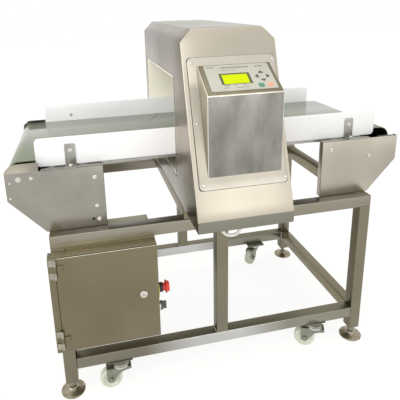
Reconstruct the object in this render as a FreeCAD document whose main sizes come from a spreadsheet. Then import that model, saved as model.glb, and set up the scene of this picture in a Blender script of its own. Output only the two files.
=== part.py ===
import FreeCAD, Part
import os
import re
import Sketcher

doc = FreeCAD.newDocument("conveyor_metal_detector")
sheet = doc.addObject("Spreadsheet::Sheet", "Sizes")
V = FreeCAD.Vector


SIZES = {
    # stand: welded square tube
    "tube": 38,
    "tube_wall": 1.5,
    "stand_half": 506,
    "stand_front": -209.25,
    "stand_depth": 586,
    "stand_top": 550,
    "low_top": 130,
    "leg_foot": 43,
    "foot_radius": 37.5,
    "stem_radius": 6,
    "thread_gap": 0.05,
    "nut_radius": 10,
    # casters
    "caster_x": 335,
    "caster_shift": 13,
    "caster_trail": 32,
    "wheel_radius": 34,
    "wheel_width": 26,
    "wheel_lift": 3,
    "fork_gap": 1.3,
    "fork_sheet": 2.5,
    "race_radius": 26,
    "race_deep": 15,
    "mount_long": 76,
    "mount_wide": 60,
    "mount_sheet": 3,
    "pivot_radius": 5,
    "run_gap": 0.05,
    "skin_gap": 0.3,
    # conveyor
    "belt_rise": 204,
    "belt_thick": 2,
    "belt_half": 216.5,
    "drum_radius": 32,
    "drum_x": 571,
    "shaft_radius": 10,
    "snub_angle": 30,
    "snub_radius": 9,
    "return_drop": 27,
    "deck_drop": 19,
    "rail_out": 229,
    "rail_sheet": 3,
    "rail_deep": 7,
    "rail_lip": 19,
    "rail_gap": 49,
    "guide_gap": 0.5,
    "guide_thick": 8,
    "guide_tall": 81,
    "guide_left": 524,
    "guide_right": 540,
    "guide_corner": 12,
    "cheek_out": 258,
    "cheek_sheet": 2,
    "cheek_in": 341,
    "cheek_end": 607,
    "cheek_foot": 512,
    "knee_rise": 105,
    "cheek_lip": 20,
    "pulley_width": 12,
    "big_pulley": 26,
    "small_pulley": 20,
    "strap_thick": 3,
    "motor_in": 131,
    "motor_rise": 49,
    "bolt_radius": 4,
    "hex_radius": 6.4,
    "hex_high": 4.4,
    # search head
    "pad_high": 14,
    "head_x": 5,
    "head_half": 131,
    "head_fore": 479,
    "head_aft": 285,
    "nose_high": 32,
    "head_high": 501,
    "head_run": 165.4,
    "head_chamfer": 33,
    "head_sheet": 2,
    "open_half": 237,
    "below_belt": 86,
    "above_belt": 216,
    "liner_wall": 6,
    "coil_wide": 12,
    "coil_deep": 10,
    "coil_pitch": 70,
    "beam_out": 125,
    "cable_x": -14.5,
    "cable_in": 66,
    "cable_half": 26,
    "cable_radius": 4.5,
    "cable_drop": 27,
    # console on the slope
    "plate_half": 119.75,
    "plate_x": 6.25,
    "plate_low": 74,
    "plate_long": 341,
    "plate_sheet": 2,
    "seal_thick": 2.5,
    "box_x": 11.5,
    "box_half": 100.5,
    "box_fore": 32,
    "box_edge": 241,
    "box_rise": 62,
    "box_sheet": 1.5,
    "film_thick": 1,
    "arrow_radius": 5,
    "key_gap": 0.3,
    "key_proud": 0.9,
    "key_travel": 0.6,
    # control cabinet
    "cab_over": 9,
    "cab_strip": 20,
    "cab_wide": 306,
    "cab_tall": 308,
    "cab_gap": 9,
    "cab_proud": 38,
    "cab_deep": 198,
    "cab_clear": 4,
    "cab_sheet": 1.5,
    "door_sheet": 2,
    "cab_seal": 3,
    "hinge_radius": 4.5,
    "hinge_pin": 2.5,
    "knuckle": 20,
    "lock_in": 45.6,
    "lock_up": 153,
    "lock_radius": 9,
    "switch_in": 40,
    "estop_up": 139,
    "mushroom": 20,
    "estop_travel": 6,
    "selector_up": 75,
}
for number, name in enumerate(SIZES, 1):
    sheet.set("A%d" % number, str(SIZES[name]))
    sheet.setAlias("A%d" % number, name)
doc.recompute()

# heights and places that follow from the sizes above
DERIVED = {
    "stand_back": "(stand_front + stand_depth)",
    "mid_y": "(stand_front + stand_depth / 2)",
    "belt_top": "(stand_top + belt_rise)",
    "deck_top": "(belt_top - deck_drop)",
    "drum_z": "(belt_top - belt_thick - drum_radius)",
    "return_low": "(belt_top - return_drop)",
    "rail_half": "(drum_x - drum_radius - rail_gap)",
    "cheek_knee": "(stand_top + knee_rise)",
    "head_low": "(stand_top + tube + pad_high)",
    "head_nose": "(head_low + nose_high)",
    "head_top": "(head_low + head_high)",
    "head_front": "(mid_y - head_fore)",
    "head_back": "(mid_y + head_aft)",
    "open_front": "(mid_y - open_half)",
    "open_back": "(mid_y + open_half)",
    "open_low": "(belt_top - below_belt)",
    "open_top": "(belt_top + above_belt)",
    "cable_y": "(head_front + cable_in)",
    "box_front": "(head_front + box_fore)",
    "box_high": "(head_nose + plate_low + box_edge)",
    "cab_left": "(0 - stand_half - cab_over)",
    "cab_right": "(cab_left + cab_wide)",
    "cab_high": "(stand_top - tube - cab_gap)",
    "cab_low": "(cab_high - cab_tall)",
    "cab_front": "(stand_front - cab_proud)",
    "cab_back": "(cab_front + cab_deep)",
    "cab_inner": "(tube + cab_clear - stand_half)",
    "lock_x": "(cab_right - lock_in)",
    "lock_z": "(cab_low + lock_up)",
    "estop_y": "(cab_front + switch_in)",
    "estop_z": "(cab_low + estop_up)",
    "selector_z": "(cab_low + selector_up)",
    "motor_x": "(motor_in - drum_x)",
    "motor_z": "(stand_top + motor_rise)",
}
WORD = re.compile(r"\b([a-z][a-z_]+)\b(?!\()")


def full(text):
    """Write an expression out until only names from the sheet are left."""
    text = str(text)
    while any(word in DERIVED for word in WORD.findall(text)):
        text = WORD.sub(lambda found: DERIVED.get(found.group(1), found.group(1)), text)
    return text


def expr(text):
    return WORD.sub(r"Sizes.\1", full(text))


def bind(item, prop, text):
    item.setExpression(prop, expr(text))


def place(item, x, y, z):
    bind(item, "Placement.Base.x", x)
    bind(item, "Placement.Base.y", y)
    bind(item, "Placement.Base.z", z)
    return item


def block(x, y, z, dx, dy, dz, label="block"):
    item = doc.addObject("Part::Box", label)
    bind(item, "Length", dx)
    bind(item, "Width", dy)
    bind(item, "Height", dz)
    return place(item, x, y, z)


TURN = {"x": FreeCAD.Rotation(V(0, 1, 0), 90),
        "y": FreeCAD.Rotation(V(1, 0, 0), -90),
        "z": FreeCAD.Rotation(V(0, 0, 1), 0)}


def rod(axis, x, y, z, radius, length, label="rod"):
    item = doc.addObject("Part::Cylinder", label)
    bind(item, "Radius", radius)
    bind(item, "Height", length)
    item.Placement = FreeCAD.Placement(V(0, 0, 0), TURN[axis])
    return place(item, x, y, z)


def cone(x, y, z, low, high, height, label="cone"):
    item = doc.addObject("Part::Cone", label)
    bind(item, "Radius1", low)
    bind(item, "Radius2", high)
    bind(item, "Height", height)
    return place(item, x, y, z)


def prism(axis, x, y, z, radius, length, sides=6, label="prism"):
    item = doc.addObject("Part::Prism", label)
    item.Polygon = sides
    bind(item, "Circumradius", radius)
    bind(item, "Height", length)
    item.Placement = FreeCAD.Placement(V(0, 0, 0), TURN[axis])
    return place(item, x, y, z)


def join(parts, label="join"):
    item = doc.addObject("Part::MultiFuse", label)
    item.Shapes = parts
    return item


def group(parts, label="group"):
    item = doc.addObject("Part::Compound", label)
    item.Links = parts
    return item


def carve(base, tools, label="carve"):
    item = doc.addObject("Part::Cut", label)
    item.Base = base
    item.Tool = tools[0] if len(tools) == 1 else join(tools)
    return item


def outline(body, plane, at, points):
    sketch = body.newObject("Sketcher::SketchObject", "outline")
    base = [f for f in body.Origin.OriginFeatures if f.Role == plane][0]
    sketch.AttachmentSupport = [(base, "")]
    sketch.MapMode = "FlatFace"
    bind(sketch, "AttachmentOffset.Base.z", at)
    known = []
    for pair in points:
        known.append([sheet_value(text) for text in pair])
    count = len(known)
    for i in range(count):
        a = known[i]
        b = known[(i + 1) % count]
        sketch.addGeometry(Part.LineSegment(V(a[0], a[1], 0), V(b[0], b[1], 0)))
    for i in range(count):
        sketch.addConstraint(Sketcher.Constraint("Coincident", i, 2, (i + 1) % count, 1))
    for i in range(count):
        for way, word in ((0, "DistanceX"), (1, "DistanceY")):
            rule = Sketcher.Constraint(word, -1, 1, i, 1, known[i][way])
            number = sketch.addConstraint(rule)
            sketch.setExpression("Constraints[%d]" % number, expr(points[i][way]))
    return sketch


def sheet_value(text):
    return float(sheet.evalExpression(full(text)))


def slab(plane, at, points, thick, label="slab"):
    """A body whose pad grows along +X, -Y or +Z from the offset plane."""
    body = doc.addObject("PartDesign::Body", label)
    sketch = outline(body, plane, at, points)
    pad = body.newObject("PartDesign::Pad", "pad")
    pad.Profile = sketch
    bind(pad, "Length", thick)
    sketch.Visibility = False
    body.Tip = pad
    return body


def soften(body, radius, chosen, kind="PartDesign::Fillet"):
    """Round or bevel the edges of the body's tip that the test picks."""
    doc.recompute()
    tip = body.Tip
    names = []
    for number, edge in enumerate(tip.Shape.Edges):
        if len(edge.Vertexes) == 2 and chosen(edge):
            names.append("Edge%d" % (number + 1))
    item = body.newObject(kind, "soften")
    item.Base = (tip, names)
    bind(item, "Size" if kind.endswith("Chamfer") else "Radius", radius)
    body.Tip = item
    return body


def along(way):
    def test(edge):
        step = edge.Vertexes[1].Point - edge.Vertexes[0].Point
        return abs(step.normalize().dot(way)) > 0.999
    return test


def turned(item, x, y, z, angle):
    """Tip an item about X, then set it down."""
    item.Placement = FreeCAD.Placement(V(0, 0, 0), FreeCAD.Rotation(V(1, 0, 0), 30))
    bind(item, "Placement.Rotation.Angle", angle)
    return place(item, x, y, z)


nodes = []
fasteners = []


def node(label, item):
    item.Label = label
    nodes.append(item)
    return item


def low(centre, side, outer, thick):
    """Lower coordinate of a sheet whose outer face is at a distance from the centre."""
    if side < 0:
        return "%s - (%s)" % (centre, outer)
    return "%s + (%s) - (%s)" % (centre, outer, thick)


FRONT_LEG = "(stand_front + tube / 2)"
BACK_LEG = "(stand_front + stand_depth - tube / 2)"
LEG_X = "(stand_half - tube / 2)"
SIDES = (-1, 1)


def tube_up(x, y, z, height):
    """Hollow square tube standing up, closed at both ends, x and y at its centre."""
    outer = block("%s - tube / 2" % x, "%s - tube / 2" % y, z, "tube", "tube", height)
    inner = block("%s - tube / 2 + tube_wall" % x, "%s - tube / 2 + tube_wall" % y,
                  "%s + tube_wall" % z, "tube - 2 * tube_wall", "tube - 2 * tube_wall",
                  "%s - 2 * tube_wall" % height)
    return carve(outer, [inner])


def hollow_bar(x, y, z, dx, dy):
    """Lying square tube, closed at both ends."""
    outer = block(x, y, z, dx, dy, "tube")
    inner = block("%s + tube_wall" % x, "%s + tube_wall" % y, "%s + tube_wall" % z,
                  "%s - 2 * tube_wall" % dx, "%s - 2 * tube_wall" % dy,
                  "tube - 2 * tube_wall")
    return carve(outer, [inner])


def mitred(side, z, long_way):
    """One side of a mitred rectangular frame of hollow tube."""
    shells = []
    for inset in ("0", "tube_wall"):
        x_out = "(stand_half - %s)" % inset
        x_in = "(stand_half - tube + %s)" % inset
        front = "(stand_front + %s)" % inset
        front_in = "(stand_front + tube - %s)" % inset
        back = "(stand_front + stand_depth - %s)" % inset
        back_in = "(stand_front + stand_depth - tube + %s)" % inset
        trim = "0" if inset == "0" else "2 * tube_wall"
        if long_way:
            outside = front if side < 0 else back
            inside = front_in if side < 0 else back_in
            points = [("0 - %s + %s" % (x_out, trim), outside),
                      ("%s - (%s)" % (x_out, trim), outside),
                      ("%s - (%s)" % (x_in, trim), inside),
                      ("0 - %s + %s" % (x_in, trim), inside)]
        else:
            sign = "0 - " if side < 0 else ""
            points = [("%s%s" % (sign, x_out), "%s + %s" % (front, trim)),
                      ("%s%s" % (sign, x_in), "%s + %s" % (front_in, trim)),
                      ("%s%s" % (sign, x_in), "%s - (%s)" % (back_in, trim)),
                      ("%s%s" % (sign, x_out), "%s - (%s)" % (back, trim))]
        if inset == "0":
            shells.append(slab("XY_Plane", z, points, "tube"))
        else:
            shells.append(slab("XY_Plane", "%s + tube_wall" % z, points,
                               "tube - 2 * tube_wall"))
    return carve(shells[0], [shells[1]])


def stand():
    corners = []
    for x in ("(0 - %s)" % LEG_X, LEG_X):
        for y in (FRONT_LEG, BACK_LEG):
            corners.append((x, y))
    legs = []
    for x, y in corners:
        leg = tube_up(x, y, "leg_foot", "stand_top - tube - leg_foot")
        legs.append(carve(leg, [rod("z", x, y, "leg_foot - 5", "stem_radius + thread_gap",
                                    "tube_wall + 10")]))
    for y in (FRONT_LEG, BACK_LEG):
        legs.append(tube_up("0", y, "low_top", "stand_top - tube - low_top"))
    node("stand_legs", group(legs))
    top = [mitred(s, "(stand_top - tube)", way) for s in SIDES for way in (True, False)]
    node("stand_top_frame", group(top))
    base = []
    for side in SIDES:
        y = low("mid_y", side, "stand_depth / 2", "tube")
        base.append(hollow_bar("tube - stand_half", y, "low_top - tube",
                               "2 * stand_half - 2 * tube", "tube"))
        x = low("0", side, "stand_half", "tube")
        base.append(hollow_bar(x, "stand_front + tube", "low_top - tube", "tube",
                               "stand_depth - 2 * tube"))
    node("stand_bottom_rails", group(base))
    feet = []
    nuts = []
    for x, y in corners:
        feet.append(join([rod("z", x, y, "0", "foot_radius", "5"),
                          cone(x, y, "5", "foot_radius", "foot_radius * 0.45", "7"),
                          cone(x, y, "12", "foot_radius * 0.34", "foot_radius * 0.2", "7"),
                          rod("z", x, y, "10", "stem_radius", "leg_foot + 20")]))
        nuts.append(carve(prism("z", x, y, "leg_foot - 9", "nut_radius", "9"),
                          [rod("z", x, y, "leg_foot - 12", "stem_radius + thread_gap", "15")]))
    node("levelling_feet", group(feet))
    fasteners.extend(nuts)
    beams = []
    for side in SIDES:
        x = low("head_x", side, "beam_out", "tube")
        beam = hollow_bar(x, "stand_front", "stand_top", "tube", "stand_depth")
        pads = [block("%s + 2" % x, y, "stand_top + tube", "tube - 4", "60",
                      "head_low - stand_top - tube")
                for y in ("stand_front + 30", "stand_back - 90")]
        beams.append(join([beam] + pads))
    node("head_beams", group(beams))


def caster(name, x, y, yaw):
    """Swivel caster: fork and wheel, drawn trailing along -X and then yawed."""
    crown = "(low_top - tube - race_deep - skin_gap)"
    axle_z = "(wheel_lift + wheel_radius)"
    half = "(wheel_width / 2 + fork_gap)"
    toe = "(race_radius + 6)"
    heel = "(caster_trail + 14)"
    parts = [rod("z", "0", "0", "%s - 3" % crown, "pivot_radius", "race_deep - 3"),
             block("0 - %s" % heel, "0 - %s - fork_sheet" % half, "%s - fork_sheet" % crown,
                   "%s + %s" % (heel, toe), "2 * %s + 2 * fork_sheet" % half, "fork_sheet")]
    for side in SIDES:
        at = half if side > 0 else "(0 - %s - fork_sheet)" % half
        ear = [(toe, "%s - fork_sheet" % crown),
               ("0 - %s" % heel, "%s - fork_sheet" % crown),
               ("0 - caster_trail - 12", axle_z),
               ("0 - caster_trail - 7", "%s - 10" % axle_z),
               ("7 - caster_trail", "%s - 10" % axle_z),
               ("13 - caster_trail", "%s + 2" % axle_z),
               (toe, "%s - 9" % crown)]
        parts.append(slab("XZ_Plane", "0 - (%s) - fork_sheet" % at, ear, "fork_sheet"))
    parts.append(rod("y", "0 - caster_trail", "0 - %s - fork_sheet" % half, axle_z,
                     "bolt_radius", "2 * %s + 2 * fork_sheet" % half))
    for side in SIDES:
        start = "%s + fork_sheet" % half if side > 0 else "0 - %s - fork_sheet - 4" % half
        parts.append(prism("y", "0 - caster_trail", start, axle_z, "7", "4"))
    fork = join(parts)
    tyre = rod("y", "0 - caster_trail", "0 - wheel_width / 2", axle_z, "wheel_radius",
               "wheel_width", label="tyre")
    doc.recompute()
    rim = doc.addObject("Part::Fillet", "rim")
    rim.Base = tyre
    rim.Edges = [(n + 1, 3.0, 3.0) for n, e in enumerate(tyre.Shape.Edges)
                 if len(e.Vertexes) == 1]
    dishes = [rod("y", "0 - caster_trail", "0 - wheel_width / 2 - 1", axle_z,
                  "bolt_radius + run_gap", "wheel_width + 2")]
    for side in SIDES:
        start = low("0", side, "wheel_width / 2 + 1", "4")
        ring = carve(rod("y", "0 - caster_trail", start, axle_z, "wheel_radius * 0.72", "4"),
                     [rod("y", "0 - caster_trail", "%s - 1" % start, axle_z,
                          "wheel_radius * 0.3", "6")])
        dishes.append(ring)
    wheel = carve(rim, dishes)
    for label, item in (("caster_fork_" + name, fork), ("caster_wheel_" + name, wheel)):
        item.Placement = FreeCAD.Placement(V(0, 0, 0), FreeCAD.Rotation(V(0, 0, 1), yaw))
        node(label, place(item, x, y, "0"))


def casters():
    front = "(%s - caster_shift)" % FRONT_LEG
    back = "(%s - caster_shift)" % BACK_LEG
    under = "(low_top - tube)"
    heads = []
    for x in ("0 - caster_x", "caster_x"):
        for y in (front, back):
            z = "(%s - race_deep)" % under
            cup = rod("z", x, y, z, "race_radius", "8")
            neck = rod("z", x, y, "%s + 6" % z, "race_radius - 5", "race_deep - 6")
            mount = block("%s - mount_long / 2" % x, "%s - mount_wide / 2" % y,
                          "%s - mount_sheet" % under, "mount_long", "mount_wide",
                          "mount_sheet")
            bore = rod("z", x, y, "%s - 1" % z, "pivot_radius + run_gap", "race_deep - 1")
            heads.append(carve(join([cup, neck, mount]), [bore]))
    node("caster_heads", group(heads))
    caster("front_left", "0 - caster_x", front, 0)
    caster("front_right", "caster_x", front, -24)
    caster("back_left", "0 - caster_x", back, 35)
    caster("back_right", "caster_x", back, 40)


def cabinet():
    deck = "(cab_front + door_sheet + cab_seal)"
    outer = [("cab_left", deck), ("cab_right", deck), ("cab_right", "cab_back"),
             ("cab_inner", "cab_back"), ("cab_inner", "stand_front - 1"),
             ("cab_left", "stand_front - 1")]
    inner = [("cab_left + cab_sheet", "%s + cab_sheet" % deck),
             ("cab_right - cab_sheet", "%s + cab_sheet" % deck),
             ("cab_right - cab_sheet", "cab_back - cab_sheet"),
             ("cab_inner + cab_sheet", "cab_back - cab_sheet"),
             ("cab_inner + cab_sheet", "stand_front - 1 - cab_sheet"),
             ("cab_left + cab_sheet", "stand_front - 1 - cab_sheet")]
    shell = slab("XY_Plane", "cab_low", outer, "cab_high - cab_low")
    hollow = slab("XY_Plane", "cab_low + cab_sheet", inner, "cab_high - cab_low - 2 * cab_sheet")
    door_left = "(cab_left + cab_strip)"
    mouth = block("%s + 18" % door_left, "%s - 5" % deck, "cab_low + 18",
                  "cab_right - %s - 36" % door_left, "12", "cab_high - cab_low - 36")
    ports = [rod("x", "cab_right - 5", "estop_y", z, r, "10")
             for z, r in (("estop_z", "11 + run_gap"), ("selector_z", "11 + run_gap"))]
    strip = block("cab_left", "cab_front", "cab_low", "cab_strip - 1",
                  "door_sheet + cab_seal", "cab_high - cab_low")
    hanger = block("tube - stand_half", "stand_front", "cab_high",
                   "cab_right + stand_half - tube", "tube / 2", "cab_gap")
    node("cabinet_shell", join([carve(shell, [hollow, mouth] + ports), strip, hanger]))
    ring = carve(block("%s + 8" % door_left, "cab_front + door_sheet", "cab_low + 8",
                       "cab_right - %s - 16" % door_left, "cab_seal",
                       "cab_high - cab_low - 16"),
                 [block("%s + 17" % door_left, "cab_front", "cab_low + 17",
                        "cab_right - %s - 34" % door_left, "20",
                        "cab_high - cab_low - 34")])
    node("cabinet_seal", ring)
    door = block(door_left, "cab_front", "cab_low", "cab_right - %s" % door_left,
                 "door_sheet", "cab_high - cab_low")
    pierced = carve(door, [rod("y", "lock_x", "cab_front - 5", "lock_z",
                               "lock_radius + run_gap", "15")])
    pivot_x = "(%s - 0.5)" % door_left
    pivot_y = "(cab_front - hinge_radius - 0.3)"
    moving = [pierced]
    fixed = []
    barrel = "(knuckle - skin_gap)"
    for z in ("cab_high - 3 * knuckle - 1", "cab_low + 14"):
        for step in range(3):
            start = "%s + %d * knuckle" % (z, step)
            cut = "%s + skin_gap / 2" % start
            knuckle = rod("z", pivot_x, pivot_y, cut, "hinge_radius", barrel)
            if step == 1:
                bore = rod("z", pivot_x, pivot_y, start, "hinge_pin + run_gap", "knuckle")
                leaf = block(pivot_x, "cab_front - 2.5", cut, "22", "2.5", barrel)
                moving.append(carve(join([knuckle, leaf]), [bore]))
            else:
                leaf = block("%s - 17" % pivot_x, "cab_front - 2.5", cut, "17", "2.5",
                             barrel)
                fixed += [knuckle, leaf]
        fixed.append(rod("z", pivot_x, pivot_y, "%s + 1" % z, "hinge_pin",
                         "3 * knuckle - 2"))
    node("cabinet_door", join(moving))
    node("cabinet_hinges", group([join(fixed[:5]), join(fixed[5:])]))
    lock = [rod("y", "lock_x", "cab_front - 3 - skin_gap", "lock_z", "lock_radius + 3", "3"),
            rod("y", "lock_x", "cab_front - 3 - skin_gap", "lock_z", "lock_radius",
                "14 + skin_gap"),
            block("lock_x - 7", "cab_front + 9", "lock_z - 34", "14", "2.5", "40")]
    slot = block("lock_x - 1.2", "cab_front - 5", "lock_z - 5", "2.4", "3.5", "10")
    node("cabinet_lock", carve(join(lock), [slot]))
    plate = block("cab_inner + 12", "cab_back - 12", "cab_low + 15",
                  "cab_right - cab_inner - 24", "2", "cab_high - cab_low - 30")
    posts = [rod("y", x, "cab_back - 10", z, "5", "10 - cab_sheet")
             for x in ("cab_inner + 24", "cab_right - 24")
             for z in ("cab_low + 30", "cab_high - 30")]
    node("cabinet_back_plate", join([plate] + posts))
    drive = [block("cab_inner + 30", "cab_back - 132", "cab_high - 180", "85", "120", "150")]
    for i in range(6):
        drive.append(block("cab_inner + %d" % (34 + 13 * i), "cab_back - 128",
                           "cab_high - 187", "6", "110", "7"))
    node("speed_drive", join(drive))
    relays = [block("cab_right - %d" % (40 + 24 * i), "cab_back - 78", "cab_high - 120", "22",
                    "66", "80") for i in range(4)]
    rails = [block("cab_inner + 40", "cab_back - 60", "cab_low + 40", "170", "48", "42")]
    node("terminals", group(relays + rails))


def switches():
    wall = "cab_right"
    base = join([rod("x", "%s - 22" % wall, "estop_y", "estop_z", "11", "22"),
                 rod("x", wall, "estop_y", "estop_z", "mushroom + 8", "1"),
                 rod("x", wall, "estop_y", "estop_z", "16", "17"),
                 block("%s - 62" % wall, "estop_y - 18", "estop_z - 20", "42", "36", "40")])
    hole = rod("x", "%s - 30" % wall, "estop_y", "estop_z", "7 + run_gap", "60")
    well = rod("x", "%s + 17.7 - estop_travel - 2" % wall, "estop_y", "estop_z",
               "12 + skin_gap", "12")
    node("estop_base", carve(base, [hole, well]))
    cap = rod("x", "%s + 17.3 + estop_travel + 2" % wall, "estop_y", "estop_z", "mushroom",
              "12", label="cap")
    doc.recompute()
    dome = doc.addObject("Part::Fillet", "dome")
    dome.Base = cap
    dome.Edges = [(n + 1, 5.0, 5.0) for n, e in enumerate(cap.Shape.Edges)
                  if len(e.Vertexes) == 1 and e.BoundBox.XMin > cap.Shape.BoundBox.XMax - 1]
    stem = rod("x", "%s - 20" % wall, "estop_y", "estop_z", "7", "40 + estop_travel")
    neck = rod("x", "%s + 17.7" % wall, "estop_y", "estop_z", "12", "estop_travel + 3")
    node("estop_button", join([dome, stem, neck]))
    ring = join([rod("x", "%s - 22" % wall, "estop_y", "selector_z", "11", "22"),
                 rod("x", wall, "estop_y", "selector_z", "15", "9"),
                 block("%s - 55" % wall, "estop_y - 16", "selector_z - 17", "35", "32",
                       "34")])
    hole = rod("x", "%s - 30" % wall, "estop_y", "selector_z", "6 + run_gap", "40")
    node("selector_base", carve(ring, [hole]))
    node("selector_knob", join([rod("x", "%s - 20" % wall, "estop_y", "selector_z", "6",
                                    "30"),
                                rod("x", "%s + 9 + skin_gap" % wall, "estop_y", "selector_z",
                                    "14", "6"),
                                block("%s + 12" % wall, "estop_y - 3.5", "selector_z - 13",
                                      "15", "7", "26")]))


def head():
    left = "head_x - head_half"
    shells = []
    for inset in ("0", "head_sheet"):
        edge = "(head_front + %s)" % inset
        points = [(edge, "head_low + %s" % inset),
                  (edge, "head_nose - %s * 0.3" % inset),
                  ("head_front + head_run + %s * 1.1" % inset, "head_top - %s" % inset),
                  ("head_back - %s" % inset, "head_top - %s" % inset),
                  ("head_back - %s" % inset, "head_low + %s" % inset)]
        body = slab("YZ_Plane", "%s + %s" % (left, inset), points,
                    "2 * head_half - 2 * (%s)" % inset)
        doc.recompute()
        top = body.Shape.BoundBox.ZMax
        side_edges = along(V(0, 1, 0))
        soften(body, "head_chamfer - %s * 0.6" % inset,
               lambda e: side_edges(e) and abs(e.Vertexes[0].Z - top) < 0.1,
               "PartDesign::Chamfer")
        shells.append(body)
    gap = [block("%s - 5" % left, "open_front", "open_low", "2 * head_half + 10",
                 "open_back - open_front", "open_top - open_low")]
    holes = [rod("z", x, "cable_y", "head_low - 5", "cable_radius + thread_gap", "10")
             for x in ("cable_x - cable_half", "cable_x + cable_half")]
    node("head_housing", carve(shells[0], [shells[1]] + gap + holes))
    liner = block(left, "open_front", "open_low", "2 * head_half", "open_back - open_front",
                  "open_top - open_low")
    bore = block("%s - 5" % left, "open_front + liner_wall", "open_low + liner_wall",
                 "2 * head_half + 10", "open_back - open_front - 2 * liner_wall",
                 "open_top - open_low - 2 * liner_wall")
    node("tunnel_liner", carve(liner, [bore]))
    coils = []
    for step in (-1, 0, 1):
        ring = block("head_x + %d * coil_pitch - coil_wide / 2" % step,
                     "open_front - coil_deep", "open_low - coil_deep", "coil_wide",
                     "2 * open_half + 2 * coil_deep", "open_top - open_low + 2 * coil_deep")
        core = block("head_x + %d * coil_pitch - coil_wide" % step, "open_front",
                     "open_low", "2 * coil_wide", "2 * open_half", "open_top - open_low")
        coils.append(carve(ring, [core]))
    node("search_coils", group(coils))
    legs = [rod("z", x, "cable_y", "head_low - cable_drop", "cable_radius", "cable_drop + 12")
            for x in ("cable_x - cable_half", "cable_x + cable_half")]
    bend = doc.addObject("Part::Torus", "bend")
    bind(bend, "Radius1", "cable_half")
    bind(bend, "Radius2", "cable_radius")
    bend.Angle3 = 180
    bend.Placement = FreeCAD.Placement(V(0, 0, 0), FreeCAD.Rotation(V(1, 0, 0), -90))
    place(bend, "cable_x", "cable_y", "head_low - cable_drop")
    node("head_cable", join(legs + [bend]))


def console():
    run = "(head_top - head_nose)"
    slope = "atan(%s / head_run)" % run
    long_way = "sqrt(%s ^ 2 + head_run ^ 2)" % run
    foot_y = "head_front + plate_low * head_run / %s" % run
    foot_z = "head_nose + plate_low"
    rounded = along(V(0, 0, 1))

    def sheet_on_slope(inset, at, thick, corner):
        points = [("plate_x - plate_half + %s" % inset, inset),
                  ("plate_x + plate_half - %s" % inset, inset),
                  ("plate_x + plate_half - %s" % inset, "plate_long - %s" % inset),
                  ("plate_x - plate_half + %s" % inset, "plate_long - %s" % inset)]
        body = slab("XY_Plane", at, points, thick)
        return soften(body, corner, rounded)

    window = block("box_x - box_half + 2", "36", "0 - 1", "2 * box_half - 4", "250", "20")
    seal = carve(sheet_on_slope("4", "0", "seal_thick", "10"), [window])
    plate = carve(sheet_on_slope("0", "seal_thick", "plate_sheet", "12"), [window])
    node("console_seal", turned(seal, "0", foot_y, foot_z, slope))
    node("console_plate", turned(plate, "0", foot_y, foot_z, slope))
    screws = []
    for x in ("plate_x - plate_half + 11", "plate_x + plate_half - 6.5"):
        for y in ("14", "plate_long / 2", "plate_long - 14"):
            head_part = cone(x, y, "seal_thick + plate_sheet", "4.2", "3", "2.4")
            screws.append(carve(head_part, [prism("z", x, y, "seal_thick + plate_sheet + 1",
                                                  "1.8", "4")]))
    node("console_screws", turned(group(screws), "0", foot_y, foot_z, slope))
    lift = "((seal_thick + plate_sheet) * %s / %s)" % (long_way, run)
    meet = "(head_nose + (box_front + %s - head_front) * %s / head_run)" % (lift, run)
    y_top = "(head_front + (box_high + box_rise - head_nose) * head_run / %s - %s)" % (
        run, lift)
    outer = slab("YZ_Plane", "box_x - box_half",
                 [("box_front", meet), ("box_front", "box_high"),
                  (y_top, "box_high + box_rise")], "2 * box_half")
    t = "box_sheet"
    far = "((%s - box_front) * 1.4)" % y_top
    inner = slab("YZ_Plane", "box_x - box_half + %s" % t,
                 [("box_front + %s" % t, "%s - 20" % meet),
                  ("box_front + %s" % t, "box_high - 0.55 * %s" % t),
                  ("box_front + %s + %s" % (t, far),
                   "box_high - 0.55 * %s + box_rise * 1.4" % t),
                  ("box_front + %s + %s" % (t, far), "%s - 20" % meet)],
                 "2 * box_half - 2 * %s" % t)
    tilt = "atan(box_rise / (%s - box_front))" % y_top
    home = ("0", "box_front", "box_high")
    films = block("box_x - 85", "13.5", "0", "174.5", "97", "film_thick")
    glass_hole = block("box_x - 49", "41.5", "0 - 8", "73", "33", "20")
    cuts = [key_shape(kind, x, y, "0 - 8", "20", "key_gap") for kind, x, y, name in KEYS]
    tight = [key_shape(kind, x, y, "0 - 8", "20", "key_gap") for kind, x, y, name in KEYS]
    screen_cut = block("box_x - 49", "41.5", "0 - 8", "73", "33", "20")
    openings = turned(group(cuts + [screen_cut]), *home, tilt)
    node("console_box", carve(outer, [inner, openings]))
    film = carve(films, tight + [glass_hole])
    node("keypad_overlay", turned(film, *home, tilt))
    screen = join([block("box_x - 48.5", "42", "0 - 5", "72", "32", "5.6"),
                   block("box_x - 56", "36", "0 - 8", "88", "44", "6.5 - box_sheet")])
    node("lcd_module", turned(screen, *home, tilt))
    board = [block("box_x - 84", "8", "0 - 18", "172", "78", "2")]
    board += [block("box_x %s" % x, y, "0 - 16.5", "8", "8", "10 - box_sheet")
              for x, y in (("- 82", "10"), ("+ 78", "10"), ("- 82", "76"), ("+ 78", "76"))]
    for kind, x, y, name in KEYS:
        board.append(rod("z", x, y, "0 - 17", "3", "17 - box_sheet - 2.3 - key_travel"))
    node("control_board", turned(join(board), *home, tilt))
    for kind, x, y, name in KEYS:
        cap = key_shape(kind, x, y, "0 - box_sheet - 0.5", "box_sheet + 0.5 + film_thick + key_proud",
                        "0")
        rim = rod("z", x, y, "0 - box_sheet - 1.9", key_rim(kind), "1.8 - run_gap")
        node("key_" + name, turned(join([cap, rim]), *home, tilt))


KEYS = (("arrow", "(box_x + 61)", "77", "up"), ("arrow", "(box_x + 46)", "61", "left"),
        ("arrow", "(box_x + 76)", "61", "right"), ("arrow", "(box_x + 61)", "46", "down"),
        ("square", "(box_x + 49.5)", "26", "confirm"), ("round", "(box_x + 73.5)", "26", "reset"))


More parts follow.
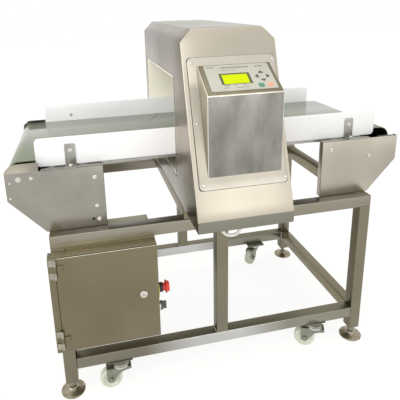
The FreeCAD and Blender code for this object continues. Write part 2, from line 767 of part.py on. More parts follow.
def key_rim(kind):
    return {"arrow": "arrow_radius + 1.3", "square": "9", "round": "8"}[kind]


def key_shape(kind, x, y, z, deep, slack):
    if kind == "arrow":
        return rod("z", x, y, z, "arrow_radius + %s" % slack, deep)
    if kind == "round":
        return rod("z", x, y, z, "7 + %s" % slack, deep)
    return block("%s - 7 - %s" % (x, slack), "%s - 6 - %s" % (y, slack), z,
                 "14 + 2 * %s" % slack, "12 + 2 * %s" % slack, deep)


def across(offset, side, thick):
    """Lower Y of a sheet whose outer face is offset from the conveyor's middle."""
    return low("mid_y", side, offset, thick)


def cheek(name, end, side, bolts):
    sign = "0 - " if end < 0 else ""
    face = "(%s + cheek_sheet)" % across("cheek_out", side, "cheek_sheet")
    xs = [sign + word for word in ("cheek_in", "cheek_foot", "cheek_end")]
    web = slab("XZ_Plane", "0 - %s" % face,
               [(xs[0], "stand_top"), (xs[1], "stand_top"), (xs[2], "cheek_knee"),
                (xs[2], "deck_top"), (xs[0], "deck_top")], "cheek_sheet")
    lip = across("cheek_out", side, "cheek_lip")
    span = "cheek_foot - cheek_in"
    x = "0 - cheek_foot" if end < 0 else "cheek_in"
    inner_x = low("0", end, "cheek_in + cheek_sheet", "cheek_sheet")
    outer_x = low("0", end, "cheek_end", "cheek_sheet")
    parts = [web,
             block(x, lip, "deck_top - cheek_sheet", span, "cheek_lip", "cheek_sheet"),
             block(x, lip, "stand_top", span, "cheek_lip", "cheek_sheet"),
             block(inner_x, lip, "stand_top", "cheek_sheet", "cheek_lip",
                   "deck_top - stand_top"),
             block(outer_x, lip, "cheek_knee", "cheek_sheet", "cheek_lip",
                   "deck_top - cheek_knee")]
    if end < 0:
        edge = across("cheek_out", side, "0")
        way = "+" if side < 0 else "-"
        ridge = slab("YZ_Plane", "0 - cheek_end",
                     [(edge, "deck_top"), ("%s %s 2" % (edge, way), "deck_top - 1"),
                      ("%s %s 13" % (edge, way), "deck_top + 22"),
                      ("%s %s 11" % (edge, way), "deck_top + 22")], "90")
        trim = slab("XZ_Plane", "0 - %s - 300" % face,
                    [("0 - cheek_end - 5", "deck_top + 4"), ("20 - cheek_end", "deck_top + 25"),
                     ("0 - cheek_end - 5", "deck_top + 25")], "600")
        parts.append(carve(ridge, [trim]))
    holes = [rod("y", bx, "%s - 5" % lip, bz, "bolt_radius + thread_gap", "cheek_lip + 10")
             for bx, bz in bolts]
    node("cheek_" + name, carve(join(parts), holes))


def bolt(axis, x, y, z, way, grip):
    """Hex bolt whose head's seat is at the point; the shank runs the other way."""
    spot = {"x": x, "y": y, "z": z}
    start = dict(spot)
    if way < 0:
        start[axis] = "%s - hex_high" % spot[axis]
    cap = prism(axis, start["x"], start["y"], start["z"], "hex_radius", "hex_high")
    tail = dict(spot)
    if way > 0:
        tail[axis] = "%s - (%s)" % (spot[axis], grip)
    shank = rod(axis, tail["x"], tail["y"], tail["z"], "bolt_radius", grip)
    return join([cap, shank])


LEFT_BOLTS = [("0 - cheek_end + 35", "deck_top - 19"), ("0 - cheek_end + 69", "deck_top - 19"),
              ("0 - cheek_in - 26", "deck_top - 34"), ("0 - cheek_in - 26", "deck_top - 122"),
              ("0 - cheek_in - 22", "stand_top + 21")]
RIGHT_BOLTS = [("cheek_in + 30", "deck_top - 29"), ("cheek_foot - 5", "deck_top - 60")]


def lean(radius, low_z):
    """Where a run leaves its drum at the snub angle, and where it meets the return run."""
    leave = ("(%s * sin(snub_angle))" % radius, "(drum_z - %s * cos(snub_angle))" % radius)
    run = "((%s - %s) / tan(snub_angle))" % (low_z, leave[1])
    return leave, "(drum_x - %s - %s)" % (leave[0], run)


def belt_loop(radius, low_z, wide):
    """Solid bounded by a closed belt line: two drums, a flat top and a raised return."""
    leave, corner = lean(radius, low_z)
    y = "(mid_y - %s)" % wide
    path = [("0 - drum_x", "drum_z + %s" % radius), ("drum_x", "drum_z + %s" % radius),
            ("drum_x", "drum_z"), ("drum_x - %s" % leave[0], leave[1]), (corner, low_z),
            ("0 - %s" % corner, low_z), ("%s - drum_x" % leave[0], leave[1]),
            ("0 - drum_x", "drum_z")]
    parts = [rod("y", x, y, "drum_z", radius, "2 * %s" % wide)
             for x in ("0 - drum_x", "drum_x")]
    parts.append(slab("XZ_Plane", "0 - (%s) - 2 * %s" % (y, wide), path, "2 * %s" % wide))
    return join(parts)


def conveyor():
    for side, word in ((-1, "front"), (1, "back")):
        cheek(word + "_left", -1, side, LEFT_BOLTS)
        cheek(word + "_right", 1, side, RIGHT_BOLTS)
    outer = "(cheek_out - cheek_sheet)"
    corner = lean("(drum_radius + belt_thick)", "return_low")[1]
    snub_x = "(%s - (snub_radius + skin_gap) * tan(snub_angle / 2))" % corner
    rails = []
    for side in SIDES:
        web = block("0 - rail_half", across("rail_out", side, "rail_sheet"),
                    "deck_top - rail_deep", "2 * rail_half", "rail_sheet", "rail_deep")
        lip = block("0 - rail_half", across("rail_out", side, "rail_lip"),
                    "deck_top - rail_sheet", "2 * rail_half", "rail_lip", "rail_sheet")
        spacers = [block("%s - 12" % x, across(outer, side, "%s - rail_out" % outer),
                         "deck_top - 38", "24", "%s - rail_out" % outer, "38 - cheek_sheet")
                   for x in ("0 - cheek_in - 56", "0 - %s" % snub_x, "cheek_in + 56", snub_x)]
        rails.append(join([web, lip] + spacers))
    node("side_rails", group(rails))
    bed_low = "(belt_top - belt_thick - skin_gap - 2)"
    half = "(belt_half - 2.5)"
    bed = [block("0 - rail_half", "mid_y - %s" % half, bed_low, "2 * rail_half",
                 "2 * %s" % half, "2")]
    for side in SIDES:
        bed.append(block("0 - rail_half", across(half, side, "2"), "deck_top",
                         "2 * rail_half", "2", "%s - deck_top" % bed_low))
    for x in ("0 - rail_half + 30", "0 - rail_half / 2.6", "rail_half / 2.6 - 30",
              "rail_half - 60"):
        bed.append(block(x, "mid_y - %s" % half, "deck_top", "30", "2 * %s" % half,
                         "%s - deck_top" % bed_low))
    node("slider_bed", join(bed))
    outside = belt_loop("(drum_radius + belt_thick)", "return_low", "belt_half")
    inside = belt_loop("drum_radius", "(return_low + belt_thick)", "(belt_half + 5)")
    node("belt", carve(outside, [inside]))
    bearings = []
    deep = "16"
    for x in ("0 - drum_x", "drum_x"):
        for side in SIDES:
            y = across(outer, side, deep)
            base = block("%s - 26" % x, y, "drum_z - 30", "52", deep, "43")
            bore = rod("y", x, "%s - 5" % y, "drum_z", "shaft_radius + run_gap", "30")
            bearings.append(carve(base, [bore]))
    for x in ("0 - %s" % snub_x, snub_x):
        z = "(return_low - snub_radius - skin_gap)"
        bearings.append(join([rod("y", x, "mid_y - belt_half", z, "snub_radius",
                                  "2 * belt_half"),
                              rod("y", x, "mid_y - rail_out", z, "5", "2 * rail_out")]))
    node("drum_bearings", group(bearings))
    for label, x in (("drive_drum", "0 - drum_x"), ("idler_drum", "drum_x")):
        face = "(belt_half - 1.5)"
        parts = [rod("y", x, "mid_y - %s" % face, "drum_z", "drum_radius - skin_gap",
                     "2 * %s" % face),
                 rod("y", x, "mid_y - %s + 2" % outer, "drum_z", "shaft_radius",
                     "2 * %s - 4" % outer)]
        if label == "drive_drum":
            parts.append(rod("y", x, PULLEY_Y, "drum_z", "big_pulley", "pulley_width"))
        node(label, join(parts))


PULLEY_Y = "(mid_y - cheek_out + cheek_lip + 0.5)"


def drive():
    rise = "(drum_z - motor_z)"
    reach = "(motor_x + drum_x)"
    shelf_y = "(mid_y - cheek_out + 60)"
    body_y = "(%s + pulley_width + 6)" % PULLEY_Y
    parts = [block("0 - stand_half", shelf_y, "stand_top", "110", "230", "4"),
             block("motor_x - 34", body_y, "motor_z - 38", "68", "70", "72"),
             block("motor_x - 34", "%s + 4" % shelf_y, "stand_top", "68", "34",
                   "motor_z - stand_top"),
             rod("y", "motor_x", "%s + 60" % body_y, "motor_z", "33", "150"),
             rod("y", "motor_x", "%s + 205" % body_y, "motor_z", "35", "26"),
             rod("y", "motor_x", "%s + 1" % PULLEY_Y, "motor_z", "7", "20")]
    hole = rod("y", "motor_x", "%s - 9" % PULLEY_Y, "motor_z", "7 + run_gap", "40")
    case = carve(join(parts[:-1]), [hole])
    node("gear_motor", case)
    node("motor_pulley", join([parts[-1], rod("y", "motor_x", PULLEY_Y, "motor_z",
                                              "small_pulley", "pulley_width")]))
    loops = []
    for extra, pad in (("skin_gap + strap_thick", "0"), ("skin_gap", "1")):
        big = "(big_pulley + %s)" % extra
        small = "(small_pulley + %s)" % extra
        y = "(%s + 1 - %s)" % (PULLEY_Y, pad)
        wide = "(pulley_width - 2 + 2 * %s)" % pad
        span = "sqrt(%s ^ 2 + %s ^ 2)" % (reach, rise)
        parts = [rod("y", "0 - drum_x", y, "drum_z", big, wide),
                 rod("y", "motor_x", y, "motor_z", small, wide)]
        lean = "(%s / %s)" % (reach, span)
        drop = "(%s / %s)" % (rise, span)
        tilt = "((big_pulley - small_pulley) / %s)" % span
        even = "sqrt(1 - %s ^ 2)" % tilt
        corners = []
        for side, order in ((1, (0, 1)), (-1, (1, 0))):
            nx = "(%s * %s + %d * %s * %s)" % (lean, tilt, side, drop, even)
            nz = "(%d * %s * %s - %s * %s)" % (side, lean, even, drop, tilt)
            pair = [("0 - drum_x + %s * %s" % (big, nx), "drum_z + %s * %s" % (big, nz)),
                    ("motor_x + %s * %s" % (small, nx), "motor_z + %s * %s" % (small, nz))]
            corners += [pair[order[0]], pair[order[1]]]
        parts.append(slab("XZ_Plane", "0 - (%s + %s)" % (y, wide), corners, wide))
        loops.append(join(parts))
    node("drive_strap", carve(loops[0], [loops[1]]))


def guides():
    boards = []
    brackets = []
    bolts = []
    xs = ("0 - cheek_in - 88", "cheek_in + 107")
    inner = "(belt_half + guide_gap)"
    outer = "(%s + guide_thick)" % inner
    bolt_z = "(deck_top + 41)"
    for side in SIDES:
        y = across(outer, side, "guide_thick")
        board = slab("XZ_Plane", "0 - (%s) - guide_thick" % y,
                     [("0 - guide_left", "deck_top"), ("guide_right", "deck_top"),
                      ("guide_right", "deck_top + guide_tall"),
                      ("0 - guide_left", "deck_top + guide_tall")],
                     "guide_thick")
        soften(board, "guide_corner", along(V(0, 1, 0)))
        holes = [rod("y", x, "%s - 5" % y, bolt_z, "bolt_radius + thread_gap", "20")
                 for x in xs]
        boards.append(carve(board, holes))
        for x in xs:
            stem = block("%s - 15" % x, across("%s + 2" % outer, side, "2"), "deck_top", "30",
                         "2", "62")
            foot = block("%s - 15" % x, across("cheek_out", side,
                                               "cheek_out - %s" % outer),
                         "deck_top", "30", "cheek_out - %s" % outer, "2")
            hole = rod("y", x, "%s - 15" % y, bolt_z, "bolt_radius + thread_gap", "40")
            brackets.append(carve(join([stem, foot]), [hole]))
            seat = "mid_y %s (%s + 2)" % ("-" if side < 0 else "+", outer)
            bolts.append(bolt("y", x, seat, bolt_z, side, "guide_thick + 2"))
    node("guide_boards", group(boards))
    node("guide_brackets", group(brackets))
    for side in SIDES:
        seat = "mid_y %s cheek_out" % ("-" if side < 0 else "+")
        for x, z in LEFT_BOLTS + RIGHT_BOLTS:
            bolts.append(bolt("y", x, seat, z, side, "cheek_sheet"))
    node("hex_fasteners", group(bolts + fasteners))
    angles = []
    for end in SIDES:
        for side in SIDES:
            long = "(stand_half - tube - cheek_in - 18)"
            x = low("0", end, "cheek_in + 10 + %s" % long, long)
            tube_in = "(stand_depth / 2 - tube)"
            angles.append(join([block(x, across(tube_in, side, "18"), "stand_top - 3", long,
                                      "18", "3"),
                                block(x, across(tube_in, side, "3"), "stand_top - 22", long,
                                      "3", "22")]))
    node("cheek_angles", group(angles))


stand()
casters()
cabinet()
switches()
head()
console()
conveyor()
drive()
guides()

doc.recompute()
for item in doc.Objects:
    if "Invalid" in item.State or "Error" in item.State:
        raise RuntimeError("%s did not build" % item.Label)
os.makedirs("parts", exist_ok=True)
for item in nodes:
    if item.Shape.isNull() or not item.Shape.isValid() or item.Shape.Volume <= 0:
        raise RuntimeError("%s has no sound shape" % item.Label)
    item.Shape.exportStep("parts/%s.step" % item.Label)
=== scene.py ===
# %% [markdown]
# Conveyor metal detector. The machine is a flat belt that carries food packs through a tunnel in a
# stainless search head. This lesson dresses the rigid frame from the CAD file with finished
# pieces: each one is made in mesh code, given the finish of the real material, and tied to the
# body that carries it, so that it moves when the joint moves.

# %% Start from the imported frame
import math

import bmesh
import bpy
from mathutils import Matrix, Vector


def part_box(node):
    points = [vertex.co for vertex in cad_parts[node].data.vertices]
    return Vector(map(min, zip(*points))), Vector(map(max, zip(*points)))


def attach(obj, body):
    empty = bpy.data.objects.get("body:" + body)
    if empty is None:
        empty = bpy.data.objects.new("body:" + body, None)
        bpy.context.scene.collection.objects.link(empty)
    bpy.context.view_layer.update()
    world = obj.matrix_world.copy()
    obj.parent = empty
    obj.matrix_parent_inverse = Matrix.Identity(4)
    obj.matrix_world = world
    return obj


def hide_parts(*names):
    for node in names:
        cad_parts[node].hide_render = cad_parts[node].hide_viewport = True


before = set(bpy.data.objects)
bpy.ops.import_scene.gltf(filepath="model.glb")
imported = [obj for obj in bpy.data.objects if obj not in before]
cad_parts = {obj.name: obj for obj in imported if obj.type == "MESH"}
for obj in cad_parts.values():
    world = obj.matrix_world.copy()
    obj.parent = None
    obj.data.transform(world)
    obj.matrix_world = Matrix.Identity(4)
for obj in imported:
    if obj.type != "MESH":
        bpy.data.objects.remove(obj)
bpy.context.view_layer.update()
MM = 0.001

# %% [markdown]
# Nearly every part is folded sheet, welded tube or a turned piece. A few helpers are enough: a
# block with rounded edges, a plate from an outline, a turned profile and a rod. Each starts from a
# bmesh operator, because an operator keeps the faces tidy and the normals outward.

# %% Shape helpers
AXES = {"x": Vector((1, 0, 0)), "y": Vector((0, 1, 0)), "z": Vector((0, 0, 1))}


def mm(*values):
    return Vector([v * MM for v in values])


def at(node):
    """Lowest and highest corner of a CAD node, in millimetres."""
    low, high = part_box(node)
    return Vector(low) / MM, Vector(high) / MM


def rect(u1, v1, u2, v2):
    """The four corners of a rectangle, from its lowest corner round."""
    return [(u1, v1), (u2, v1), (u2, v2), (u1, v2)]


def outward(bm):
    """Turn every face to look out of its solid."""
    bmesh.ops.recalc_face_normals(bm, faces=bm.faces[:])


def score(bm, axis, spot):
    """Add edges where the plane across an axis at a place in mm meets the faces."""
    bmesh.ops.bisect_plane(bm, geom=bm.verts[:] + bm.edges[:] + bm.faces[:], dist=1e-7,
                           plane_co=AXES[axis] * spot * MM, plane_no=AXES[axis])


def rounded(bm, radius, steps=2, edges=None):
    chosen = list(bm.edges) if edges is None else edges
    if radius > 0 and chosen:
        bmesh.ops.bevel(bm, geom=chosen, offset=radius * MM, segments=steps, profile=0.5,
                        affect="EDGES", material=-1, clamp_overlap=True)
    return bm


def block(low, high, radius=1.0, steps=2):
    """Box between two corners in millimetres, with its edges rounded."""
    bm = bmesh.new()
    bmesh.ops.create_cube(bm, size=1.0)
    low, high = Vector(low), Vector(high)
    bmesh.ops.scale(bm, vec=(high - low) * MM, verts=bm.verts)
    bmesh.ops.translate(bm, vec=(high + low) * 0.5 * MM, verts=bm.verts)
    return rounded(bm, radius, steps)


def plate(points, axis, start, depth, radius=0.6, steps=2, corner=0, corner_at=None):
    """Outline in the plane across an axis, extruded along it. Corners can be rounded first."""
    bm = bmesh.new()
    verts = []
    for u, v in points:
        spot = {"x": (start, u, v), "y": (u, start, v), "z": (u, v, start)}[axis]
        verts.append(bm.verts.new(mm(*spot)))
    bm.faces.new(verts)
    if corner:
        picked = [v for i, v in enumerate(verts) if corner_at is None or i in corner_at]
        bmesh.ops.bevel(bm, geom=picked, offset=corner * MM, segments=6, profile=0.5,
                        affect="VERTICES", material=-1)
    grown = bmesh.ops.extrude_face_region(bm, geom=bm.faces[:])
    far = [g for g in grown["geom"] if isinstance(g, bmesh.types.BMVert)]
    bmesh.ops.translate(bm, vec=AXES[axis] * depth * MM, verts=far)
    outward(bm)
    return rounded(bm, radius, steps, sharp(bm))


def sharp(bm, limit=40):
    return [e for e in bm.edges if len(e.link_faces) == 2
            and e.calc_face_angle(0) > math.radians(limit)]


def aim(axis):
    """Turn that carries +Z onto an axis, given as a letter or a direction."""
    way = AXES[axis] if isinstance(axis, str) else Vector(axis)
    return Vector((0, 0, 1)).rotation_difference(way).to_matrix().to_4x4()


def moved(bm, matrix):
    bmesh.ops.transform(bm, matrix=matrix, verts=bm.verts)
    return bm


def turned(profile, axis, centre, steps=48):
    """Closed solid of revolution from (radius, height) pairs in millimetres."""
    bm = bmesh.new()
    verts = [bm.verts.new(mm(r, 0, z)) for r, z in profile]
    edges = [bm.edges.new(pair) for pair in zip(verts, verts[1:])]
    bmesh.ops.spin(bm, geom=verts + edges, cent=(0, 0, 0), axis=(0, 0, 1),
                   angle=math.tau, steps=steps, use_merge=True)
    bmesh.ops.remove_doubles(bm, verts=bm.verts, dist=1e-6)
    bmesh.ops.holes_fill(bm, edges=[e for e in bm.edges if e.is_boundary], sides=0)
    outward(bm)
    return moved(bm, Matrix.Translation(mm(*centre)) @ aim(axis))


def rod(axis, low, length, radius, edge=0.4, sides=32):
    """Round bar from its low end."""
    lip = min(edge, radius * 0.4)
    if sides == 6:
        bm = bmesh.new()
        bmesh.ops.create_cone(bm, cap_ends=True, segments=6, radius1=radius * MM,
                              radius2=radius * MM, depth=length * MM)
        bmesh.ops.translate(bm, vec=(0, 0, length * MM / 2), verts=bm.verts)
        rounded(bm, lip, 1)
        return moved(bm, Matrix.Translation(mm(*low)) @ aim(axis))
    return turned([(0, 0), (radius - lip, 0), (radius, lip), (radius, length - lip),
                   (radius - lip, length), (0, length)], axis, low, sides)


def welded(*shapes):
    """Several closed shapes in one mesh."""
    whole = bmesh.new()
    for shape in shapes:
        for bm in shape if isinstance(shape, list) else [shape]:
            mesh = bpy.data.meshes.new("part")
            bm.to_mesh(mesh)
            bm.free()
            whole.from_mesh(mesh)
            bpy.data.meshes.remove(mesh)
    return whole


def linked(name, data):
    item = bpy.data.objects.new(name, data)
    bpy.context.scene.collection.objects.link(item)
    return item


def show(name, bm, finish, body="machine", hides=(), smooth=38, others=()):
    """Turn a shape into a finished piece that rides on a body."""
    mesh = bpy.data.meshes.new(name)
    bm.to_mesh(mesh)
    bm.free()
    mesh.polygons.foreach_set("use_smooth", [True] * len(mesh.polygons))
    mesh.set_sharp_from_angle(angle=math.radians(smooth))
    for coat in (finish, *others):
        mesh.materials.append(coat)
    piece = linked(name, mesh)
    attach(piece, body)
    if hides:
        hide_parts(*hides)
    return piece


def face_finish(bm, number, test):
    """Give the faces whose normal passes a test another of the piece's finishes."""
    bm.normal_update()
    for face in bm.faces:
        if test(face.normal):
            face.material_index = number


def dress(node, finish):
    """Keep a CAD node's own mesh and give it a finish."""
    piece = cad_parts[node]
    piece.data.materials.clear()
    piece.data.materials.append(finish)


# %% [markdown]
# Finishes. Stainless sheet is nearly grey, but this one is a warm, slightly olive 304 with a fine
# brushed grain, and handling leaves cloudy smudges that change its gloss more than its colour. So
# one function builds a metal from two close colours, a stretched noise for the grain, a large soft
# noise for the clouds, and a roughness that follows both.

# %% Material helpers
def paint(code):
    """sRGB hex to the linear colour that a shader wants."""
    shares = [int(code[i:i + 2], 16) / 255 for i in (1, 3, 5)]
    return (*[c / 12.92 if c <= 0.04045 else ((c + 0.055) / 1.055) ** 2.4 for c in shares], 1.0)


def add(tree, kind, settings=None, **links):
    """Add one node, set its sockets, and link the named inputs (i0 is the first one)."""
    spot = tree.nodes.new(kind)
    for key, value in (settings or {}).items():
        if isinstance(key, int) or key in spot.inputs:
            spot.inputs[key].default_value = value
        else:
            setattr(spot, key, value)
    for key, source in links.items():
        socket = int(key[1:]) if key[1:].isdigit() else key
        tree.links.new(source, spot.inputs[socket])
    return spot


RANGE = "ShaderNodeMapRange"


def blank(name, slot):
    mat = bpy.data.materials.new(name)
    mat.use_nodes = True
    mat["slot"] = slot
    tree = mat.node_tree
    shader = tree.nodes["Principled BSDF"]
    place = tree.nodes.new("ShaderNodeTexCoord").outputs["Object"]
    return mat, tree, shader, place


def grain_noise(tree, place, scale, detail=4.0, rough=0.55):
    spread = add(tree, "ShaderNodeMapping", {"Scale": scale}, Vector=place)
    return add(tree, "ShaderNodeTexNoise", {"Scale": 1.0, "Detail": detail,
                                            "Roughness": rough},
               Vector=spread.outputs[0]).outputs["Fac"]


def coated(tree, shader, dark, light, tone, gloss, height, bump, depth):
    """Drive a shader: colour between two codes, roughness, and bump from a height."""
    mix = add(tree, "ShaderNodeMix", {"data_type": "RGBA", 6: paint(dark), 7: paint(light)},
              i0=tone)
    lift = add(tree, "ShaderNodeBump", {"Strength": bump, "Distance": depth}, Height=height)
    for socket, source in (("Base Color", mix.outputs[2]), ("Roughness", gloss),
                           ("Normal", lift.outputs[0])):
        tree.links.new(source, shader.inputs[socket])


def metal(name, slot, dark, light, rough, grain=(1, 1, 1), grain_mm=0.6, cloud_mm=120,
          cloud=0.5, bump=0.05, smear=(1, 1, 1)):
    """Brushed or blasted metal: grain along one axis, soft clouds of handling over it."""
    mat, tree, shader, place = blank(name, slot)
    lines = grain_noise(tree, place, [v / (grain_mm * MM) for v in grain], 3.0, 0.6)
    clouds = grain_noise(tree, place, [v / (cloud_mm * MM) for v in smear], 3.0, 0.5)
    lines_part = add(tree, RANGE, {1: 0.3, 2: 0.7, 3: 0.0, 4: 1.0 - cloud}, Value=lines)
    cloud_part = add(tree, RANGE, {1: 0.32, 2: 0.68, 3: 0.0, 4: cloud}, Value=clouds)
    tone = add(tree, "ShaderNodeMath", {"operation": "ADD"}, i0=lines_part.outputs[0],
               i1=cloud_part.outputs[0]).outputs[0]
    gloss = add(tree, RANGE, {3: rough + 0.07, 4: rough - 0.05}, Value=tone).outputs[0]
    coated(tree, shader, dark, light, tone, gloss, lines, bump, 0.0003)
    shader.inputs["Metallic"].default_value = 1.0
    return mat


def paint_light_bands(mat, axis, first, *stops):
    """Darken a finish with painted shade: a tint fading from colour to colour along an axis (mm).
    """
    tree = mat.node_tree
    colour = tree.nodes["Principled BSDF"].inputs["Base Color"]
    place = tree.nodes.new("ShaderNodeTexCoord").outputs["Object"]
    along = add(tree, "ShaderNodeSeparateXYZ", Vector=place).outputs[axis]
    tint = None
    for low, high, code in stops:
        share = add(tree, RANGE, {1: low * MM, 2: high * MM}, Value=along).outputs[0]
        mix = add(tree, "ShaderNodeMix", {"data_type": "RGBA", 6: paint(first), 7: paint(code)},
                  i0=share)
        if tint:
            tree.links.new(tint, mix.inputs[6])
        tint = mix.outputs[2]
    blend = add(tree, "ShaderNodeMix", {"data_type": "RGBA", "blend_type": "MULTIPLY", 0: 1.0},
                i6=colour.links[0].from_socket, i7=tint)
    tree.links.new(blend.outputs[2], colour)


def moulded(name, slot, dark, light, rough, mottle_mm=40, grain_mm=0.7, bump=0.03, ior=1.5,
            coat=0.0):
    """Plastic, rubber or paint: slight tone change and a fine orange-peel surface."""
    mat, tree, shader, place = blank(name, slot)
    broad = grain_noise(tree, place, [1 / (mottle_mm * MM)] * 3, 3.0)
    peel = grain_noise(tree, place, [1 / (grain_mm * MM)] * 3, 2.0)
    tone = add(tree, RANGE, {1: 0.3, 2: 0.7}, Value=broad).outputs[0]
    gloss = add(tree, RANGE, {1: 0.3, 2: 0.7, 3: rough + 0.05, 4: rough - 0.04}, Value=peel)
    coated(tree, shader, dark, light, tone, gloss.outputs[0], peel, bump, 0.0002)
    shader.inputs["IOR"].default_value = ior
    shader.inputs["Coat Weight"].default_value = coat
    return mat


# %% Finishes
# 304 stainless tube, belt-ground along its length, with olive shade from the shop floor.
tube_steel = metal("ground_stainless_tube", "stainless_frame", "#8c8678", "#9c978b", 0.34,
                   (0.05, 1, 1), 0.8, 220, 0.6)
tube_steel_deep = metal("ground_stainless_tube_across", "stainless_frame", "#7d755f",
                        "#8a826b", 0.34, (1, 0.05, 1), 0.8, 160, 0.5)
leg_steel = metal("ground_stainless_leg", "stainless_frame", "#7a7463", "#86806f", 0.34,
                  (1, 1, 0.05), 0.8, 160, 0.5)
# The low rails take a lighter copy of the tube steel: painted sheen.
low_steel = metal("stainless_tube_painted_sheen", "stainless_frame", "#b9b9b6", "#cbcbca", 0.3,
                  (0.05, 1, 1), 0.8, 230, 0.75)
# Folded 2 mm sheet with a No. 4 brushed face, grain along the belt.
cheek_steel = metal("brushed_stainless_sheet", "stainless_sheet", "#928e85", "#a29f98", 0.36,
                    (0.06, 1, 1), 0.7, 90, 0.7)
# A lighter, warmer copy of the same sheet for the right-hand cheeks: painted light.
right_cheek_painted_light_steel = metal("brushed_stainless_sheet_painted_light", "stainless_sheet", "#a7a297", "#b9b3a6",
                   0.36, (0.06, 1, 1), 0.7, 150, 0.7)
tab_steel = metal("folded_stainless_tab", "stainless_sheet", "#817c71", "#8c877b", 0.38)
bracket_steel = metal("brushed_stainless_bracket", "stainless_sheet", "#9b9b95", "#b0b0aa",
                      0.32, (1, 1, 0.08), 0.7, 30, 0.6)
door_steel = metal("brushed_stainless_door", "stainless_sheet", "#79705b", "#837a65", 0.38,
                   (1, 1, 0.06), 0.7, 140, 0.7)
# Bead-blasted head: no grain to see, a soft even glow.
head_steel = metal("blasted_stainless_side", "head_sheet", "#ada396", "#b9afa2", 0.24,
                   (1, 1, 1), 0.9, 240, 0.7, 0.03)
# The slope and the nose are the same sheet as the sides. A lighter copy paints light on the slope,
# and a darker copy paints shade on the upright nose band.
slope_painted_light_steel = metal("blasted_stainless_slope_painted_light", "head_sheet", "#b7af9f", "#c3bbac", 0.3,
                    (1, 1, 1), 0.9, 260, 0.7, 0.03)
nose_painted_shade_steel = metal("blasted_stainless_nose_painted_shade", "head_sheet", "#818075", "#8c8a7f", 0.3,
                   (1, 1, 1), 0.9, 200, 0.7, 0.03)
flange_steel = metal("satin_stainless_flange", "head_sheet", "#d6d0c5", "#e2dcd1", 0.34,
                     (0.1, 1, 1), 0.9, 120, 0.7, 0.03)
console_steel = metal("brushed_stainless_console", "console_sheet", "#7a7973", "#9c9b95", 0.34,
                      (1, 1, 0.08), 0.7, 70, 0.85, 0.05, (1.5, 1, 0.7))
# The wedge is one folded sheet. Its side faces take a lighter copy (painted light), its top faces
# a darker olive copy (painted shade) and its rounded front edges a pale copy (painted highlight).
console_side = metal("console_side_faces_painted_light", "console_sheet", "#a89f91", "#b8afa1",
                     0.34, (1, 1, 0.08), 0.7, 95, 0.6)
console_rim = metal("console_top_painted_shade", "console_sheet", "#7a725e", "#88806c", 0.36,
                    (0.1, 1, 1), 0.7, 60, 0.6)
console_edge = metal("console_edge_painted_highlight", "console_sheet", "#dcd7c6", "#ebe7d9", 0.3,
                     (0.1, 1, 1), 2.0, 30, 0.5)
foot_steel = metal("worn_stainless_foot", "polished_steel", "#746b58", "#b5ab97", 0.3,
                   (1, 1, 1), 5.0, 16, 0.5, 0.25)
bright_steel = metal("polished_stainless", "polished_steel", "#c4c1b8", "#e2dfd8", 0.2,
                     (1, 1, 1), 1.5, 30, 0.6, 0.02)
zinc = metal("zinc_plated_steel", "zinc", "#7d8073", "#989b8c", 0.38, (1, 1, 1), 2.0, 18, 0.6)
zinc_bright = metal("bright_zinc_race", "zinc", "#b4b4ac", "#d2d2cb", 0.22, (1, 1, 1), 2.0, 12)
hinge_steel = metal("cast_zinc_hinge", "zinc", "#928e80", "#b5b1a4", 0.34, (1, 1, 1), 1.5, 15)
drum_steel = metal("turned_stainless_drum", "drum_steel", "#aaa69c", "#c8c4b9", 0.26,
                   (1, 0.02, 1), 0.8, 60, 0.4)
pulley_metal = metal("machined_aluminium", "pulley", "#b8b9bb", "#d4d5d6", 0.3)
copper = metal("copper_winding", "copper_coil", "#a2602a", "#c4793a", 0.35)
# Sawn and planed white polyethylene sheet, softly waxy.
board_white = moulded("white_polyethylene_board", "guide_plastic", "#eeeeef", "#f6f6f7", 0.34,
                      200, 1.2, 0.02, 1.54)
nylon = moulded("white_nylon_wheel", "wheel_nylon", "#cacdba", "#d9dbca", 0.36, 14, 0.8)
# Glossy olive-green PVC belt with a fabric backing.
belt_green = moulded("green_pvc_belt", "belt_pvc", "#5f684a", "#6b7456", 0.16, 300, 1.0, 0.02,
                     1.55, 0.5)
liner_beige = moulded("glass_fibre_liner", "liner", "#f2ecdc", "#f9f4e6", 0.42, 200, 1.5)
foam_black = moulded("black_foam_rubber", "seal_rubber", "#1a1a18", "#24241f", 0.8)
film_grey = moulded("polyester_keypad_film", "keypad_film", "#b0afa0", "#b7b6a8", 0.42, 60)
black_abs = moulded("black_moulded_abs", "black_plastic", "#221d1c", "#2c2625", 0.4)
# Near-black for the discs that stand for unused bolt holes: painted shade.
shadow_black = moulded("hole_painted_shade", "black_plastic", "#0f0e0c", "#181613", 0.7)
selector_grey = moulded("grey_moulded_lever", "black_plastic", "#55564c", "#66675c", 0.35)
drive_grey = moulded("grey_moulded_case", "drive_case", "#3a3d40", "#46494c", 0.5)
enamel = moulded("blue_grey_enamel", "motor_paint", "#56616b", "#5f6a74", 0.35)
red_abs = moulded("red_moulded_abs", "red_button", "#e23a2c", "#ec4a3a", 0.3, 12, coat=0.2)
yellow_ring = moulded("yellow_moulded_disc", "black_plastic", "#e3d24a", "#ecdc5c", 0.4)
green_key = moulded("green_film_key", "green_key", "#4c8468", "#568f73", 0.4, 6)
red_key = moulded("orange_film_key", "red_key", "#ee9377", "#f4a085", 0.4, 6)
black_key = moulded("black_film_key", "arrow_key", "#3c3c38", "#474743", 0.5, 6)
board_green = moulded("solder_mask_board", "circuit_board", "#1c5a38", "#236a44", 0.35)
strap_black = moulded("black_toothed_strap", "strap_rubber", "#141414", "#1c1c1c", 0.6)
cable_white = moulded("white_pvc_cable", "cable_white", "#e6e6e3", "#f0f0ed", 0.4)
